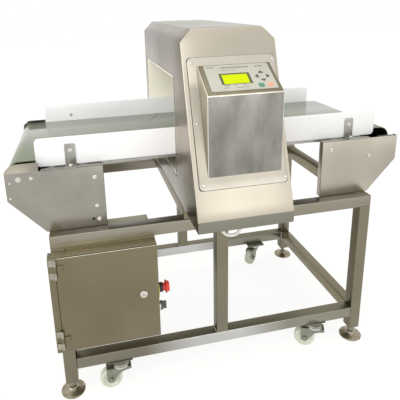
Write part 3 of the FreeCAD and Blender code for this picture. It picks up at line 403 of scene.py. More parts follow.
# A lighter copy of the cabinet sheet for its upward faces: painted light.
cabinet_top_painted_light = metal("cabinet_roof_painted_light", "stainless_sheet", "#b3ab95", "#c2bba6", 0.36,
                   (0.06, 1, 1), 0.7, 140, 0.6)
# A pale copy for the door's rounded upper front edge: painted highlight.
door_edge_painted_highlight = metal("door_bevel_painted_highlight", "stainless_sheet", "#d9d4c2", "#e8e4d5", 0.3)
# A darker copy of the tube steel for the top faces of the low rails: painted shade.
low_rail_top_painted_shade = metal("stainless_tube_top_painted_shade", "stainless_frame", "#77725f", "#88836f",
                      0.5, (0.05, 1, 1), 0.8, 230, 0.6)
# A darker copy of the leg steel for the left sides of the legs: painted shade.
leg_left_side_painted_shade = metal("ground_stainless_leg_painted_shade", "stainless_frame", "#5f5a47", "#6b6652",
                       0.42, (1, 1, 0.05), 0.8, 160, 0.5)
# Painted light and shade in bands along one axis. The head's sides are darker at the foot and near
# the top, with a lighter painted reflection between. The flange is darker over its middle. The low
# rails carry a painted sheen along the middle of their run.
paint_light_bands(head_steel, "Z", "#a29f90", (705, 790, "#ffffff"), (860, 930, "#cdcbc9"),
       (960, 1035, "#a8a39a"), (1075, 1088, "#d4d3d1"))
paint_light_bands(flange_steel, "Z", "#ffffff", (690, 730, "#c6c4be"), (955, 975, "#eceae6"))
paint_light_bands(low_steel, "X", "#aaa594", (-250, -90, "#ffffff"), (60, 230, "#b9b5a6"))
print("finishes", len(bpy.data.materials))

# %% [markdown]
# The stand is square tube, cut to length, mitred at the top corners and welded. Each bar is its
# own rounded block, so the joints show as fine seams, as ground welds do. No open end shows, so
# the bars are solid here.

# %% Stand
TUBE = 38
HALF = TUBE / 2
frame_low, frame_high = at("stand_top_frame")
rail_low, rail_high = at("stand_bottom_rails")
leg_foot = at("stand_legs")[0].z
x1, y1, x2, y2 = frame_low.x, frame_low.y, frame_high.x, frame_high.y
top_z, under_z = frame_high.z, frame_low.z
leg_rows = (y1 + HALF, y2 - HALF)
corners = [(x, y) for x in (x1 + HALF, x2 - HALF) for y in leg_rows]


def bar(low, high):
    """One length of tube with the tube's own soft corners."""
    return block(low, high, 2.5, 3)


legs = [bar((x - HALF, y - HALF, leg_foot), (x + HALF, y + HALF, under_z)) for x, y in corners]
legs += [bar((-HALF, y - HALF, rail_high.z), (HALF, y + HALF, under_z)) for y in leg_rows]
stand_legs = welded(legs)
# The left-facing sides of the legs take the darker copy: painted shade.
face_finish(stand_legs, 1, lambda n: n.x < -0.9)
show("legs", stand_legs, leg_steel, hides=["stand_legs"], others=[leg_left_side_painted_shade])

long_bars, short_bars = [], []
for a, b in ((y1, y1 + TUBE), (y2, y2 - TUBE)):
    long_bars.append(plate([(x1, a), (x2, a), (x2 - TUBE, b), (x1 + TUBE, b)], "z", under_z,
                           TUBE, 2.0, 3))
for a, b in ((x1, x1 + TUBE), (x2, x2 - TUBE)):
    short_bars.append(plate([(a, y1), (b, y1 + TUBE), (b, y2 - TUBE), (a, y2)], "z", under_z,
                            TUBE, 2.0, 3))
low_bars = [bar((x1 + TUBE, y, rail_low.z), (x2 - TUBE, y + TUBE, rail_high.z))
            for y in (y1, y2 - TUBE)]
for x in (x1, x2 - TUBE):
    short_bars.append(bar((x, y1 + TUBE, rail_low.z), (x + TUBE, y2 - TUBE, rail_high.z)))
show("long_rails", welded(long_bars), tube_steel, hides=["stand_top_frame"])
low_rails = welded(low_bars)
# The top faces of the low rails take the darker copy: painted shade.
face_finish(low_rails, 1, lambda n: n.z > 0.9)
show("low_rails", low_rails, low_steel, others=[low_rail_top_painted_shade])
show("cross_rails", welded(short_bars), tube_steel_deep, hides=["stand_bottom_rails"])

beam_low, beam_high = at("head_beams")
beams = []
for x in (beam_low.x, beam_high.x - TUBE):
    beams.append(bar((x, beam_low.y, top_z), (x + TUBE, beam_high.y, top_z + TUBE)))
    for y in (y1 + 30, y2 - 90):
        beams.append(block((x + 2, y, top_z + TUBE), (x + 36, y + 60, beam_high.z), 1.5))
show("head_beams_dressed", welded(beams), tube_steel_deep, hides=["head_beams"])
print("stand", len(legs) + len(long_bars) + len(short_bars), "bars")


# %% [markdown]
# Weld beads. A fillet weld is a low, slightly rippled bead a few millimetres wide in the inner
# corner of two tubes. A short rod with many sections, pushed out and in along its length, gives
# the ripple.

# %% Welds
RIPPLE = 2.2


def bead(start, end, radius=1.7):
    run = Vector(end) - Vector(start)
    count = max(6, int(run.length / RIPPLE))
    profile = [(0, 0)]
    for i in range(count + 1):
        profile.append((radius * (0.82 + 0.18 * (i % 2)), run.length * i / count))
    return turned(profile + [(0, run.length)], run.normalized(), start, 10)


beads = []
for x in (x1 + TUBE, x2 - TUBE):
    for y in (y1, y2):
        inner = y + TUBE if y == y1 else y - TUBE
        beads.append(bead((x, inner, rail_low.z + 3), (x, inner, rail_high.z - 3)))
        beads.append(bead((x, min(y, inner) + 3, under_z), (x, max(y, inner) - 3, under_z)))
for x in (-HALF, HALF):
    for y in (y1, y2 - TUBE):
        beads.append(bead((x, y + 3, under_z), (x, y + 35, under_z)))
        beads.append(bead((x, y + 3, rail_high.z), (x, y + 35, rail_high.z)))
show("weld_beads", welded(beads), bright_steel)

# %% [markdown]
# Levelling feet: a domed pressed disc on a threaded stem with a lock nut. The thread is drawn as a
# profile of small ridges and spun, which reads as a thread without the cost of a real helix.

# %% Levelling feet
foot_profile = [(0, 0), (34, 0), (36.5, 0.8), (37.5, 2.6), (37.3, 4.4), (35.6, 5.6), (29, 7.6),
                (21, 10.2), (15, 13), (12.4, 15.4), (11.4, 18.2), (8.6, 19.4), (0, 19.6)]


def thread(low, high, radius, pitch=1.75):
    profile = [(0, low)]
    z = low
    while z < high - pitch:
        profile += [(radius - 0.55, z), (radius, z + pitch / 2)]
        z += pitch
    return profile + [(radius - 0.55, z), (0, z + 0.3)]


feet, stems = [], []
for x, y in corners:
    feet.append(turned(foot_profile, "z", (x, y, 0), 56))
    stems.append(turned(thread(17, 60, 6), "z", (x, y, 0), 24))
    stems.append(rod("z", (x, y, 34.2), 8.6, 10, 0.8, 6))
    stems.append(rod("z", (x, y, 19.4), 7, 9.6, 0.8, 6))
show("foot_discs", welded(feet), foot_steel, hides=["levelling_feet"])
show("foot_stems", welded(stems), zinc)

# %% [markdown]
# Casters: a pressed fork that swivels under a ball-race head, and a white nylon wheel on a bolt.
# The fork is bent from one plate, so each ear tapers to the axle and has a raised edge. The wheel
# is a turned profile with a dished web.

# %% Casters
race_low, race_high = at("caster_heads")
CASTER_SHIFT, TRAIL = 13, 32
WHEEL_R, WHEEL_HALF, RACE_R = 34, 13, 26
AXLE_Z, EAR, SHEET, PLATE_HALF = 37, 14.3, 2.5, 38
CASTER_X = race_high.x - PLATE_HALF
front_row, back_row = y1 + HALF - CASTER_SHIFT, y2 - HALF - CASTER_SHIFT
swivels = {"front_left": (-CASTER_X, front_row, 0), "front_right": (CASTER_X, front_row, -24),
           "back_left": (-CASTER_X, back_row, 35), "back_right": (CASTER_X, back_row, 40)}
race = [(0, 0), (RACE_R - 3, 0), (RACE_R - 0.5, 1.2), (RACE_R, 4), (RACE_R - 1, 6.8),
        (RACE_R - 5, 8), (RACE_R - 5, 9.2), (RACE_R - 2, 10.4), (RACE_R - 2.4, 12), (0, 12)]
races, mounts = [], []
for x, y, _ in swivels.values():
    races.append(turned(race, "z", (x, y, race_low.z), 48))
    near = max(y - 30, y1 - 3)
    mounts.append(block((x - PLATE_HALF, near, race_high.z - 3),
                        (x + PLATE_HALF, y + 30, race_high.z), 1.2))
    for dx in (-29, 29):
        for dy in (-21, 21) if near < y - 29 else (21,):
            mounts.append(rod("z", (x + dx, y + dy, race_high.z - 7), 4, 5.5, 0.6, 6))
show("caster_races", welded(races), zinc_bright, hides=["caster_heads"])
show("caster_mounts", welded(mounts), zinc)
wheel_half = [(4.1, 0), (4.1, WHEEL_HALF), (9.5, WHEEL_HALF), (10.2, WHEEL_HALF - 0.6),
              (10.8, WHEEL_HALF - 3), (WHEEL_R - 10.4, WHEEL_HALF - 3.2),
              (WHEEL_R - 9, WHEEL_HALF - 2), (WHEEL_R - 8, WHEEL_HALF - 0.4),
              (WHEEL_R - 5, WHEEL_HALF), (WHEEL_R - 2, WHEEL_HALF - 1),
              (WHEEL_R - 0.4, WHEEL_HALF - 4), (WHEEL_R, WHEEL_HALF - 8), (WHEEL_R, 0)]


def caster_fork():
    crown = race_low.z - 0.3
    toe, heel = RACE_R + 6, TRAIL + 14
    reach = EAR + SHEET
    parts = [plate(rect(-heel, -reach, toe, reach), "z", crown - SHEET, SHEET, 0.9, 3, 5),
             turned([(0, crown - 6), (9, crown - 6), (11, crown - 4), (12, crown - 2.5),
                     (0, crown - 2.5)], "z", (0, 0, 0), 32)]
    for side in (-1, 1):
        start = EAR if side > 0 else -reach
        ear = [(toe, crown - SHEET), (-heel, crown - SHEET), (-heel + 0.6, AXLE_Z + 12),
               (-TRAIL - 12.6, AXLE_Z + 1), (-TRAIL - 11, AXLE_Z - 6), (-TRAIL - 6, AXLE_Z - 10.6),
               (-TRAIL, AXLE_Z - 12), (-TRAIL + 6, AXLE_Z - 10.4), (-TRAIL + 11, AXLE_Z - 5),
               (-TRAIL + 16, AXLE_Z + 4), (-2, crown - 18), (14, crown - 12), (toe, crown - 9)]
        parts.append(plate(ear, "y", start, SHEET, 0.8, 2))
        nut = side * reach
        parts.append(turned([(0, 0), (8, 0), (8, 1.2), (0, 1.2)], (0, side, 0),
                            (-TRAIL, nut, AXLE_Z), 28))
        parts.append(turned([(0, 0), (6.4, 0), (6.4, 2.6), (5.2, 4), (2.5, 4.4), (0, 4.4)],
                            (0, side, 0), (-TRAIL, nut + side * 1.2, AXLE_Z), 28))
    parts.append(rod("y", (-TRAIL, -reach, AXLE_Z), 2 * reach, 4))
    return welded(parts)


for label, (x, y, yaw) in swivels.items():
    lay = Matrix.Translation(mm(x, y, 0)) @ Matrix.Rotation(math.radians(yaw), 4, "Z")
    show("fork_" + label + "_dressed", moved(caster_fork(), lay), zinc, "fork_" + label,
         hides=["caster_fork_" + label])
    profile = wheel_half + [(r, -z) for r, z in reversed(wheel_half)]
    wheel = turned(profile + [wheel_half[0]], "y", (-TRAIL, 0, AXLE_Z), 56)
    show("wheel_" + label + "_dressed", moved(wheel, lay), nylon, "wheel_" + label,
         hides=["caster_wheel_" + label])
print("casters", len(swivels))

# %% [markdown]
# The head is a folded stainless case. Its front slopes back to carry the console, its long top
# edges are bevelled, and a wide window lets the belt through. The outline is extruded across the
# belt and the two top edges are cut back with a bevel. Planes score the window on both sides, its
# faces are removed and the two rims are bridged, so the wall round the tunnel is real.

# %% Search head
case_low, case_high = at("head_housing")
win_low, win_high = at("tunnel_liner")
NOSE_Z, RUN, SLANT = case_low.z + 32, 165.4, 33.0
slope_rise = case_high.z - NOSE_Z


def head_case():
    y_front, y_back = case_low.y, case_high.y
    outline = [(y_front, case_low.z), (y_front, NOSE_Z), (y_front + RUN, case_high.z),
               (y_back, case_high.z), (y_back, case_low.z)]
    bm = plate(outline, "x", case_low.x, case_high.x - case_low.x, 0)
    tops = [e for e in bm.edges
            if all(abs(v.co.z / MM - case_high.z) < 0.1 for v in e.verts)
            and abs((e.verts[0].co - e.verts[1].co).normalized().y) > 0.99]
    bmesh.ops.bevel(bm, geom=tops, offset=SLANT * MM, segments=1, profile=0.5,
                    affect="EDGES", material=-1)
    rounded(bm, 1.6, 3, sharp(bm, 20))
    for axis, spots in (("y", (win_low.y, win_high.y)), ("z", (win_low.z, win_high.z))):
        for spot in spots:
            score(bm, axis, spot)
    doors = [f for f in bm.faces if abs(f.normal.x) > 0.99
             and win_low.y < f.calc_center_median().y / MM < win_high.y
             and win_low.z < f.calc_center_median().z / MM < win_high.z]
    left = [f for f in doors if f.normal.x < 0]
    right = [f for f in doors if f.normal.x > 0]
    rims = [e for f in doors for e in f.edges
            if sum(1 for g in e.link_faces if g in doors) == 1]
    bmesh.ops.delete(bm, geom=left + right, context="FACES_ONLY")
    bmesh.ops.bridge_loops(bm, edges=list(set(rims)))
    outward(bm)
    # Sloped front faces take the lighter copy (painted light); upright front faces take the darker
    # one (painted shade).
    face_finish(bm, 1, lambda n: n.y < -0.3 and n.z > 0.1)
    face_finish(bm, 2, lambda n: n.y < -0.99)
    return bm


show("head_case", head_case(), head_steel, hides=["head_housing"], smooth=30,
     others=[slope_painted_light_steel, nose_painted_shade_steel])


def window_frame(start, end, grown, wall, inset, edge):
    """Four strips round the window: below, above, in front and behind."""
    near, foot, far, top = (win_low.y - grown, win_low.z - grown,
                            win_high.y + grown, win_high.z + grown)
    strips = ((near, foot, far, foot + wall), (near, top - wall, far, top),
              (near, foot + inset, near + wall, top - inset),
              (far - wall, foot + inset, far, top - inset))
    return [block((start, ya, za), (end, yb, zb), edge) for ya, za, yb, zb in strips]


WALL, SEAM = 6, 1.5
lining = window_frame(case_low.x + 0.5, case_high.x - 0.5, 0, WALL, WALL, 1.0)
show("tunnel_lining", welded(lining), liner_beige, hides=["tunnel_liner"])
show("tunnel_edges", welded(*(window_frame(x, x + SEAM, SEAM, 2, SEAM, 0.5)
                              for x in (case_low.x - 0.8, case_high.x - 0.7))), head_steel)
print("head", case_high - case_low)

# %% [markdown]
# The cable loop hangs out of the underside of the head and goes back in: a white sheathed cable,
# stiff enough to hold a round bend. It is one curve with a round section.

# %% Cable loop
cable_low, cable_high = at("head_cable")
loop_x, loop_y = (cable_low.x + cable_high.x) / 2, (cable_low.y + cable_high.y) / 2
CABLE_R = 4.5
curve = bpy.data.curves.new("cable_loop", "CURVE")
curve.dimensions = "3D"
curve.bevel_depth = CABLE_R * MM
curve.bevel_resolution = 5
curve.resolution_u = 10
line = curve.splines.new("POLY")
bend = (cable_high.x - cable_low.x) / 2 - CABLE_R
bend_z = cable_low.z + CABLE_R + bend
path = [(loop_x - bend, loop_y, case_low.z + 4), (loop_x - bend, loop_y, bend_z + 8)]
for i in range(29):
    turn = math.pi + math.pi * i / 28
    path.append((loop_x + bend * math.cos(turn), loop_y + 2.5 * math.sin(2 * turn),
                 bend_z + bend * math.sin(turn)))
path += [(loop_x + bend, loop_y, bend_z + 8), (loop_x + bend, loop_y, case_low.z + 4)]
line.points.add(len(path) - 1)
for point, spot in zip(line.points, path):
    point.co = (*mm(*spot), 1)
cable = linked("cable_loop", curve)
curve.materials.append(cable_white)
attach(cable, "machine")
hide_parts("head_cable")
grommets = [turned([(4.6, 0), (9, 0), (9.4, -1), (8.4, -3), (4.6, -3.5), (4.6, 0)], "z",
                   (loop_x + s * bend, loop_y, case_low.z), 28) for s in (-1, 1)]
show("cable_grommets", welded(grommets), cable_white)

# %% [markdown]
# The console: a flange plate screwed to the slope over a thin black seal, and a wedge-shaped box
# welded to it whose top tips towards the operator. All of it is drawn in flat, easy frames, then
# laid on the slope or on the tipped top with one matrix each.

# %% Console plate and box
slope_angle = math.atan2(slope_rise, RUN)
plate_low, plate_high = at("console_plate")
SEAL, FLANGE, PLATE_LONG, PLATE_UP = 2.5, 2.0, 341, 74
foot_z = NOSE_Z + PLATE_UP
foot_y = case_low.y + PLATE_UP * RUN / slope_rise
on_slope = Matrix.Translation(mm(0, foot_y, foot_z)) @ Matrix.Rotation(slope_angle, 4, "X")
px1, px2 = plate_low.x, plate_high.x
# The seal is drawn 1 mm wider than the plate all round. Its black edge is the real seal and also
# stands in for the shadow gap under the plate: part seal, part painted shade.
seal_outline = rect(px1 - 1, -1, px2 + 1, PLATE_LONG + 1)
show("console_seal_dressed", moved(plate(seal_outline, "z", 0, SEAL, 0.3, 1, 10), on_slope),
     foam_black, hides=["console_seal"])
flange = plate(rect(px1, 0, px2, PLATE_LONG), "z", SEAL, FLANGE, 0.7, 3, 12)
show("console_flange", moved(flange, on_slope), flange_steel, hides=["console_plate"])

box_low, box_high = at("console_box")
proud = (SEAL + FLANGE) * math.hypot(slope_rise, RUN) / slope_rise
front_y, meet_z = box_low.y, box_low.z
back_y = case_low.y + (box_high.z - NOSE_Z) * RUN / slope_rise - proud
TOP_RISE = 62
lip_z = box_high.z - TOP_RISE
box_outline = [(front_y, meet_z), (front_y, lip_z), (back_y, box_high.z)]
wedge = plate(box_outline, "x", box_low.x, box_high.x - box_low.x, 0)
rounded(wedge, 1.8, 4, sharp(wedge, 20))
# Copies of the one sheet by face: darker on top (painted shade), a pale painted highlight on the
# rounded front edges, lighter on the sides (painted light).
face_finish(wedge, 1, lambda n: n.z > 0.8)
face_finish(wedge, 2, lambda n: n.y < -0.15 and (0.03 < n.z < 0.8 or 0.1 < abs(n.x) < 0.97))
face_finish(wedge, 3, lambda n: abs(n.x) > 0.97)
show("console_wedge", wedge, console_steel, hides=["console_box"],
     others=[console_rim, console_edge, console_side])
weld_path = [((x, front_y + 1, meet_z), (x, back_y, box_high.z - 2))
             for x in (box_low.x - 0.2, box_high.x + 0.2)]
show("console_welds", welded([bead(a, b, 1.0) for a, b in weld_path]), console_steel)

screws = []
for x in (px1 + 11, px2 - 6.5):
    for y in (14, PLATE_LONG / 2, PLATE_LONG - 14):
        screws.append(turned([(0, 0.7), (1.6, 0.7), (1.8, 2.6), (2.6, 2.6), (3.6, 1.9),
                              (4.2, 0.6), (4.2, 0), (0, 0)], "z", (x, y, SEAL + FLANGE), 28))
show("console_buttonheads", moved(welded(screws), on_slope), bright_steel,
     hides=["console_screws"])

# %% [markdown]
# The operator's face is a printed film with a window for the display and six keys. The film is one
# rounded sheet; the keys are separate pieces, because each one moves. The printed words are left
# out, and rows of plain dashes stand in their place.

# %% Operator face
tip = math.atan2(TOP_RISE, back_y - front_y)
on_top = Matrix.Translation(mm(0, front_y, lip_z)) @ Matrix.Rotation(tip, 4, "X")
mid = (box_low.x + box_high.x) / 2
film = plate(rect(mid - 85, 13.5, mid + 89.5, 110.5), "z", 0.02, 1.0, 0.25, 2, 3)
show("keypad_film", moved(film, on_top), film_grey, hides=["keypad_overlay"])
bezel = [block((mid - 53, 36, 0.6), (mid - 46, 77, 1.5), 0.3),
         block((mid + 21, 36, 0.6), (mid + 28.5, 77, 1.5), 0.3),
         block((mid - 46.2, 36, 0.6), (mid + 21.2, 38, 1.5), 0.3),
         block((mid - 46.2, 72, 0.6), (mid + 21.2, 77, 1.5), 0.3)]
show("display_bezel", moved(welded(bezel), on_top), moulded(
    "smoked_display_frame", "black_plastic", "#4b4c1c", "#585926", 0.3))

lcd, tree, shader, place = blank("backlit_display", "lcd")
shade = grain_noise(tree, place, [60, 60, 60], 2.0)
share = add(tree, RANGE, {1: 0.3, 2: 0.7}, Value=shade).outputs[0]
mix = add(tree, "ShaderNodeMix", {"data_type": "RGBA", 6: paint("#e4f800"),
                                  7: paint("#eeff08")}, i0=share)
tree.links.new(mix.outputs[2], shader.inputs["Emission Color"])
shader.inputs["Base Color"].default_value = paint("#303a00")
shader.inputs["Emission Strength"].default_value = 0.93
shader.inputs["Specular IOR Level"].default_value = 0.05
shader.inputs["Roughness"].default_value = 0.25
show("display_window", moved(block((mid - 46.2, 37.8, 0.6), (mid + 21.2, 72.2, 1.25), 0.2),
                             on_top), lcd, hides=["lcd_module"])

print_grey = moulded("film_print", "keypad_film", "#50514b", "#5b5c56", 0.45)
PRINT = [(-78, 7, 100.5, 2.9, 3.2), (-41, 12, 97, 6.4, 4.2), (-41, 9, 88.6, 4.6, 1.6),
         (53, 3, 97, 7, 3.6), (-50, 4, 31, 4.2, 2.2), (-50, 3, 23, 4.2, 2.0),
         (-18, 8, 22.5, 4.0, 2.2)]
dashes = []
for left_x, count, row_y, pitch, tall in PRINT:
    for i in range(count):
        low = (mid + left_x + pitch * i, row_y, 0.9)
        dashes.append(block(low, Vector(low) + Vector((pitch * 0.66, tall, 0.2)), 0))
show("film_rules", moved(welded(dashes), on_top), print_grey)
signals = [turned([(0, 0), (1.6, 0), (1.4, 0.9), (0.8, 1.3), (0, 1.4)], "z",
                (mid - 43 + 24 * i, 31.5, 1.0), 16) for i in range(3)]
show("signal_lamps", moved(welded(signals), on_top), moulded(
    "signal_lamp", "black_plastic", "#7d6f4a", "#8b7c54", 0.25))

KEYS = {"up": (60, 75, 90), "left": (46, 60, 180), "right": (75, 59, 0), "down": (59.5, 45, 270),
        "confirm": (47.5, 26.5, 4.5), "reset": (71.5, 26.5, 6.5)}
KEY_HALF, ARROW = 7.6, ((5.4, 0, 0), (-3.6, 7.2, 0), (-3.6, -7.2, 0))
for label, (kx, ky, point) in KEYS.items():
    cx = mid + kx
    if label in ("confirm", "reset"):
        square = rect(cx - KEY_HALF, ky - KEY_HALF, cx + KEY_HALF, ky + KEY_HALF)
        shape = plate(square, "z", 0.7, 1.2, 0.4, 3, point)
        finish = green_key if label == "confirm" else red_key
    else:
        turn = Matrix.Rotation(math.radians(point), 3, "Z")
        tips = [turn @ Vector(tip) for tip in ARROW]
        shape = plate([(cx + tip.x, ky + tip.y) for tip in tips], "z", 0.8, 1.1, 0.3, 2)
        finish = black_key
    show("key_" + label + "_cap", moved(shape, on_top), finish, "key_" + label + "_cap",
         hides=["key_" + label])
print("keys", len(KEYS))

# %% [markdown]
# The conveyor's skin: side plates folded from sheet. Each one is a flat web with a narrow strip
# along its folded edges, all of the real sheet thickness, and their outer edges are rounded as
# bends are.

# %% Cheek plates
KNEE_RISE, FOOT_IN, LIP, TAB_LONG, TAB_HIGH = 105, 95, 20, 90, 22
PLATE_SHEET = 2.0
deck_top = at("cheek_front_left")[1].z - TAB_HIGH


def cheek(name):
    low, high = at("cheek_" + name)
    left, front = "left" in name, "front" in name
    s = -1 if left else 1
    end, inner = (-low.x, -high.x) if left else (high.x, low.x)
    foot, knee, base = end - FOOT_IN, low.z + KNEE_RISE, low.z
    face, way = (low.y, 1) if front else (high.y, -1)
    web = [(s * inner, base), (s * foot, base), (s * end, knee), (s * end, deck_top),
           (s * inner, deck_top)]
    start = face if front else face - PLATE_SHEET
    sheets = [plate(web, "y", start, PLATE_SHEET, 0.9, 3)]

    def fold(xa, xb, za, zb):
        ya, yb = sorted((face, face + way * LIP))
        return block((min(xa, xb), ya, za), (max(xa, xb), yb, zb), 0.9, 3)

    sheets.append(fold(s * inner, s * foot, deck_top - PLATE_SHEET, deck_top))
    sheets.append(fold(s * inner, s * foot, base, base + PLATE_SHEET))
    sheets.append(fold(s * inner, s * (inner + PLATE_SHEET), base, deck_top))
    sheets.append(fold(s * (end - PLATE_SHEET), s * end, knee, deck_top))
    # The right-hand cheeks take the lighter copy of the sheet: painted light.
    show("cheek_" + name + "_dressed", welded(sheets), cheek_steel if left else right_cheek_painted_light_steel,
         hides=["cheek_" + name])
    if left:
        tab = [(-end, deck_top - 1), (TAB_LONG - end, deck_top - 1),
               (TAB_LONG - end, deck_top + TAB_HIGH), (19 - end, deck_top + TAB_HIGH),
               (-end, deck_top + 5)]
        shape = plate(tab, "y", start, PLATE_SHEET, 0.7, 2)
        for v in shape.verts:
            v.co.y += way * 11 * MM * max(0, v.co.z / MM - deck_top) / TAB_HIGH
        show("cheek_tab_" + name, shape, tab_steel)


for name in ("front_left", "front_right", "back_left", "back_right"):
    cheek(name)

# %% [markdown]
# Hex bolts with a washer under each head. The head is a six-sided cone section whose top edge is
# chamfered, the way a forged head is.

# %% Bolts
fasteners = []
WASHER = 1.1
face_front, face_back = at("cheek_front_left")[0].y, at("cheek_back_left")[1].y


def hex_bolt(axis, seat, size=5.6):
    """Washer, six-sided head and its turned crown, standing on a seat."""
    washer = turned([(0, 0), (size * 1.22, 0), (size * 1.22, 0.8), (size * 1.12, WASHER),
                     (0, WASHER)], axis, seat, 32)
    spot = Vector(seat) + Vector(axis) * WASHER
    cap = rod(axis, spot, size * 0.62, size, size * 0.12, 6)
    crown = turned([(0, size * 0.6), (size * 0.78, size * 0.6), (size * 0.7, size * 0.68),
                    (0, size * 0.7)], axis, spot, 24)
    return [washer, cap, crown]


cheek_end, cheek_in = -at("cheek_front_left")[0].x, at("cheek_front_right")[0].x
left_bolts = [(35 - cheek_end, deck_top - 19, 6.4), (69 - cheek_end, deck_top - 19, 4.2),
              (-cheek_in - 26, deck_top - 34, 5.2), (-cheek_in - 26, deck_top - 122, 4.6),
              (-cheek_in - 22, top_z + 21, 5.2)]
small_left = [(12 - cheek_end, deck_top - 28), (9 - cheek_end, deck_top - 72)]
right_bolts = [(cheek_in + 30, deck_top - 29, 5.4),
               (cheek_end - FOOT_IN - 5, deck_top - 60, 5.4)]
# Thin near-black discs on the cheek faces where a bolt hole shows: painted shade, not a hole.
hole_shade_discs = []
for face, way in ((face_front, -1), (face_back, 1)):
    for x, z, size in left_bolts + right_bolts:
        fasteners += hex_bolt((0, way, 0), (x, face, z), size)
    for x, z in small_left:
        fasteners.append(turned([(0, 0), (3.4, 0), (3.0, 1.2), (1.8, 1.8), (0, 2.0)],
                                (0, way, 0), (x, face, z), 24))
    hole_shade_discs.append(turned([(0, 0.05), (4.6, 0.05), (4.2, 0.4), (0, 0.4)], (0, way, 0),
                        (-cheek_in - 38, face, top_z + 23), 24))
show("bolt_holes_painted_shade", welded(hole_shade_discs), shadow_black)

# %% [markdown]
# Guide boards: sawn white polyethylene, 8 mm thick, with radiused ends. Each one stands on folded
# angle brackets that are bolted through it.

# %% Guides and brackets
board_low, board_high = at("guide_boards")
boards, brackets = [], []
BRACKET_X = (-cheek_in - 88, cheek_in + 107)
STEM, BOLT_UP, BRACKET_HALF, BOARD = 62, 41, 15, 8
for side in (-1, 1):
    y = board_low.y if side < 0 else board_high.y - BOARD
    outline = rect(board_low.x, board_low.z, board_high.x, board_high.z)
    boards.append(plate(outline, "y", y, BOARD, 0.9, 3, 12))
    outer = board_low.y if side < 0 else board_high.y
    cheek_face = face_front if side < 0 else face_back
    for x in BRACKET_X:
        xa, xb = x - BRACKET_HALF, x + BRACKET_HALF
        stem = rect(xa, deck_top, xb, deck_top + STEM)
        brackets.append(plate(stem, "y", min(outer, outer + side * PLATE_SHEET), PLATE_SHEET,
                              0.6, 2, 4.5, (2, 3)))
        ya, yb = sorted((outer, cheek_face))
        brackets.append(block((xa, ya, deck_top), (xb, yb, deck_top + PLATE_SHEET), 0.6))
        fasteners += hex_bolt((0, side, 0), (x, outer + side * PLATE_SHEET, deck_top + BOLT_UP),
                              5.2)
        fasteners += hex_bolt((0, 0, 1), (x, outer + side * 15, deck_top + PLATE_SHEET), 5.2)
        if x < 0 or side < 0:
            fasteners.append(turned([(0, 0), (5.6, 0), (5.0, 1.0), (2.8, 1.6), (0, 1.6)],
                                    (0, -side, 0), (x, outer - side * BOARD, deck_top + BOLT_UP),
                                    28))
show("side_boards", welded(boards), board_white, hides=["guide_boards"])
show("board_brackets", welded(brackets), bracket_steel, hides=["guide_brackets"])
show("bolts_and_washers", welded(fasteners), bright_steel, hides=["hex_fasteners"])
dress("cheek_angles", tube_steel)

# %% [markdown]
# The belt is a loop of green PVC with a smooth, slightly glossy face. It is drawn as one closed
# strip: a race-track outline in side view, given its real 2 mm thickness and its width, with the
# diagonal splice showing as a faint line. The drums, rails and bed under it are plain turned or
# folded metal.

# %% Belt
belt_low, belt_high = at("belt")
BELT, RETURN_DROP, SNUB = 2.0, 27.0, math.radians(30)
outer_r = (belt_high.z - belt_low.z) / 2
drum_x, drum_z = belt_high.x - outer_r, belt_high.z - outer_r
track = bmesh.new()


def belt_ring(radius, low_z, y):
    """Round one drum past its lowest point, up to the raised return run, and back."""
    half = [(drum_x + radius * math.cos(a), drum_z + radius * math.sin(a))
            for a in (math.pi / 2 - i * (math.pi + SNUB) / 28 for i in range(29))]
    leave_x, leave_z = half[-1]
    half.append((leave_x - (low_z - leave_z) / math.tan(SNUB), low_z))
    whole = half + [(-x, z) for x, z in reversed(half)]
    ring = [track.verts.new(mm(x, y, z)) for x, z in whole]
    return [track.edges.new((ring[i], ring[(i + 1) % len(ring)])) for i in range(len(ring))]


under = belt_high.z - RETURN_DROP
outside = [belt_ring(outer_r, under, y) for y in (belt_low.y, belt_high.y)]
inside = [belt_ring(outer_r - BELT, under + BELT, y) for y in (belt_high.y, belt_low.y)]
loops = outside + inside
for i in range(4):
    bmesh.ops.bridge_loops(track, edges=loops[i] + loops[(i + 1) % 4])
outward(track)
rims = [e for e in track.edges if abs(e.verts[0].co.y - e.verts[1].co.y) < 1e-7
        and len(e.link_faces) == 2 and e.calc_face_angle(0) > math.radians(60)]
rounded(track, 0.5, 2, rims)
show("belt_loop", track, belt_green, hides=["belt"])
splice = plate([(-300, belt_low.y + 1), (-297, belt_low.y + 1), (-97, belt_high.y - 1),
                (-100, belt_high.y - 1)], "z", belt_high.z - 0.2, 0.28, 0)
show("belt_splice", splice, belt_green)

# %% Rails, bed and drums
for node, finish in (("side_rails", bracket_steel), ("slider_bed", cheek_steel),
                     ("drum_bearings", drive_grey), ("gear_motor", enamel),
                     ("drive_strap", strap_black), ("search_coils", copper),
                     ("cabinet_back_plate", zinc), ("speed_drive", drive_grey),
                     ("terminals", black_abs), ("control_board", board_green),
                     ("motor_pulley", pulley_metal), ("drive_drum", drum_steel),
                     ("idler_drum", drum_steel)):
    dress(node, finish)

# %% [markdown]
# The control cabinet hangs under the top rail: a folded box with a flush door on two pin hinges, a
# quarter-turn lock, and on its right wall an emergency stop over a selector switch.

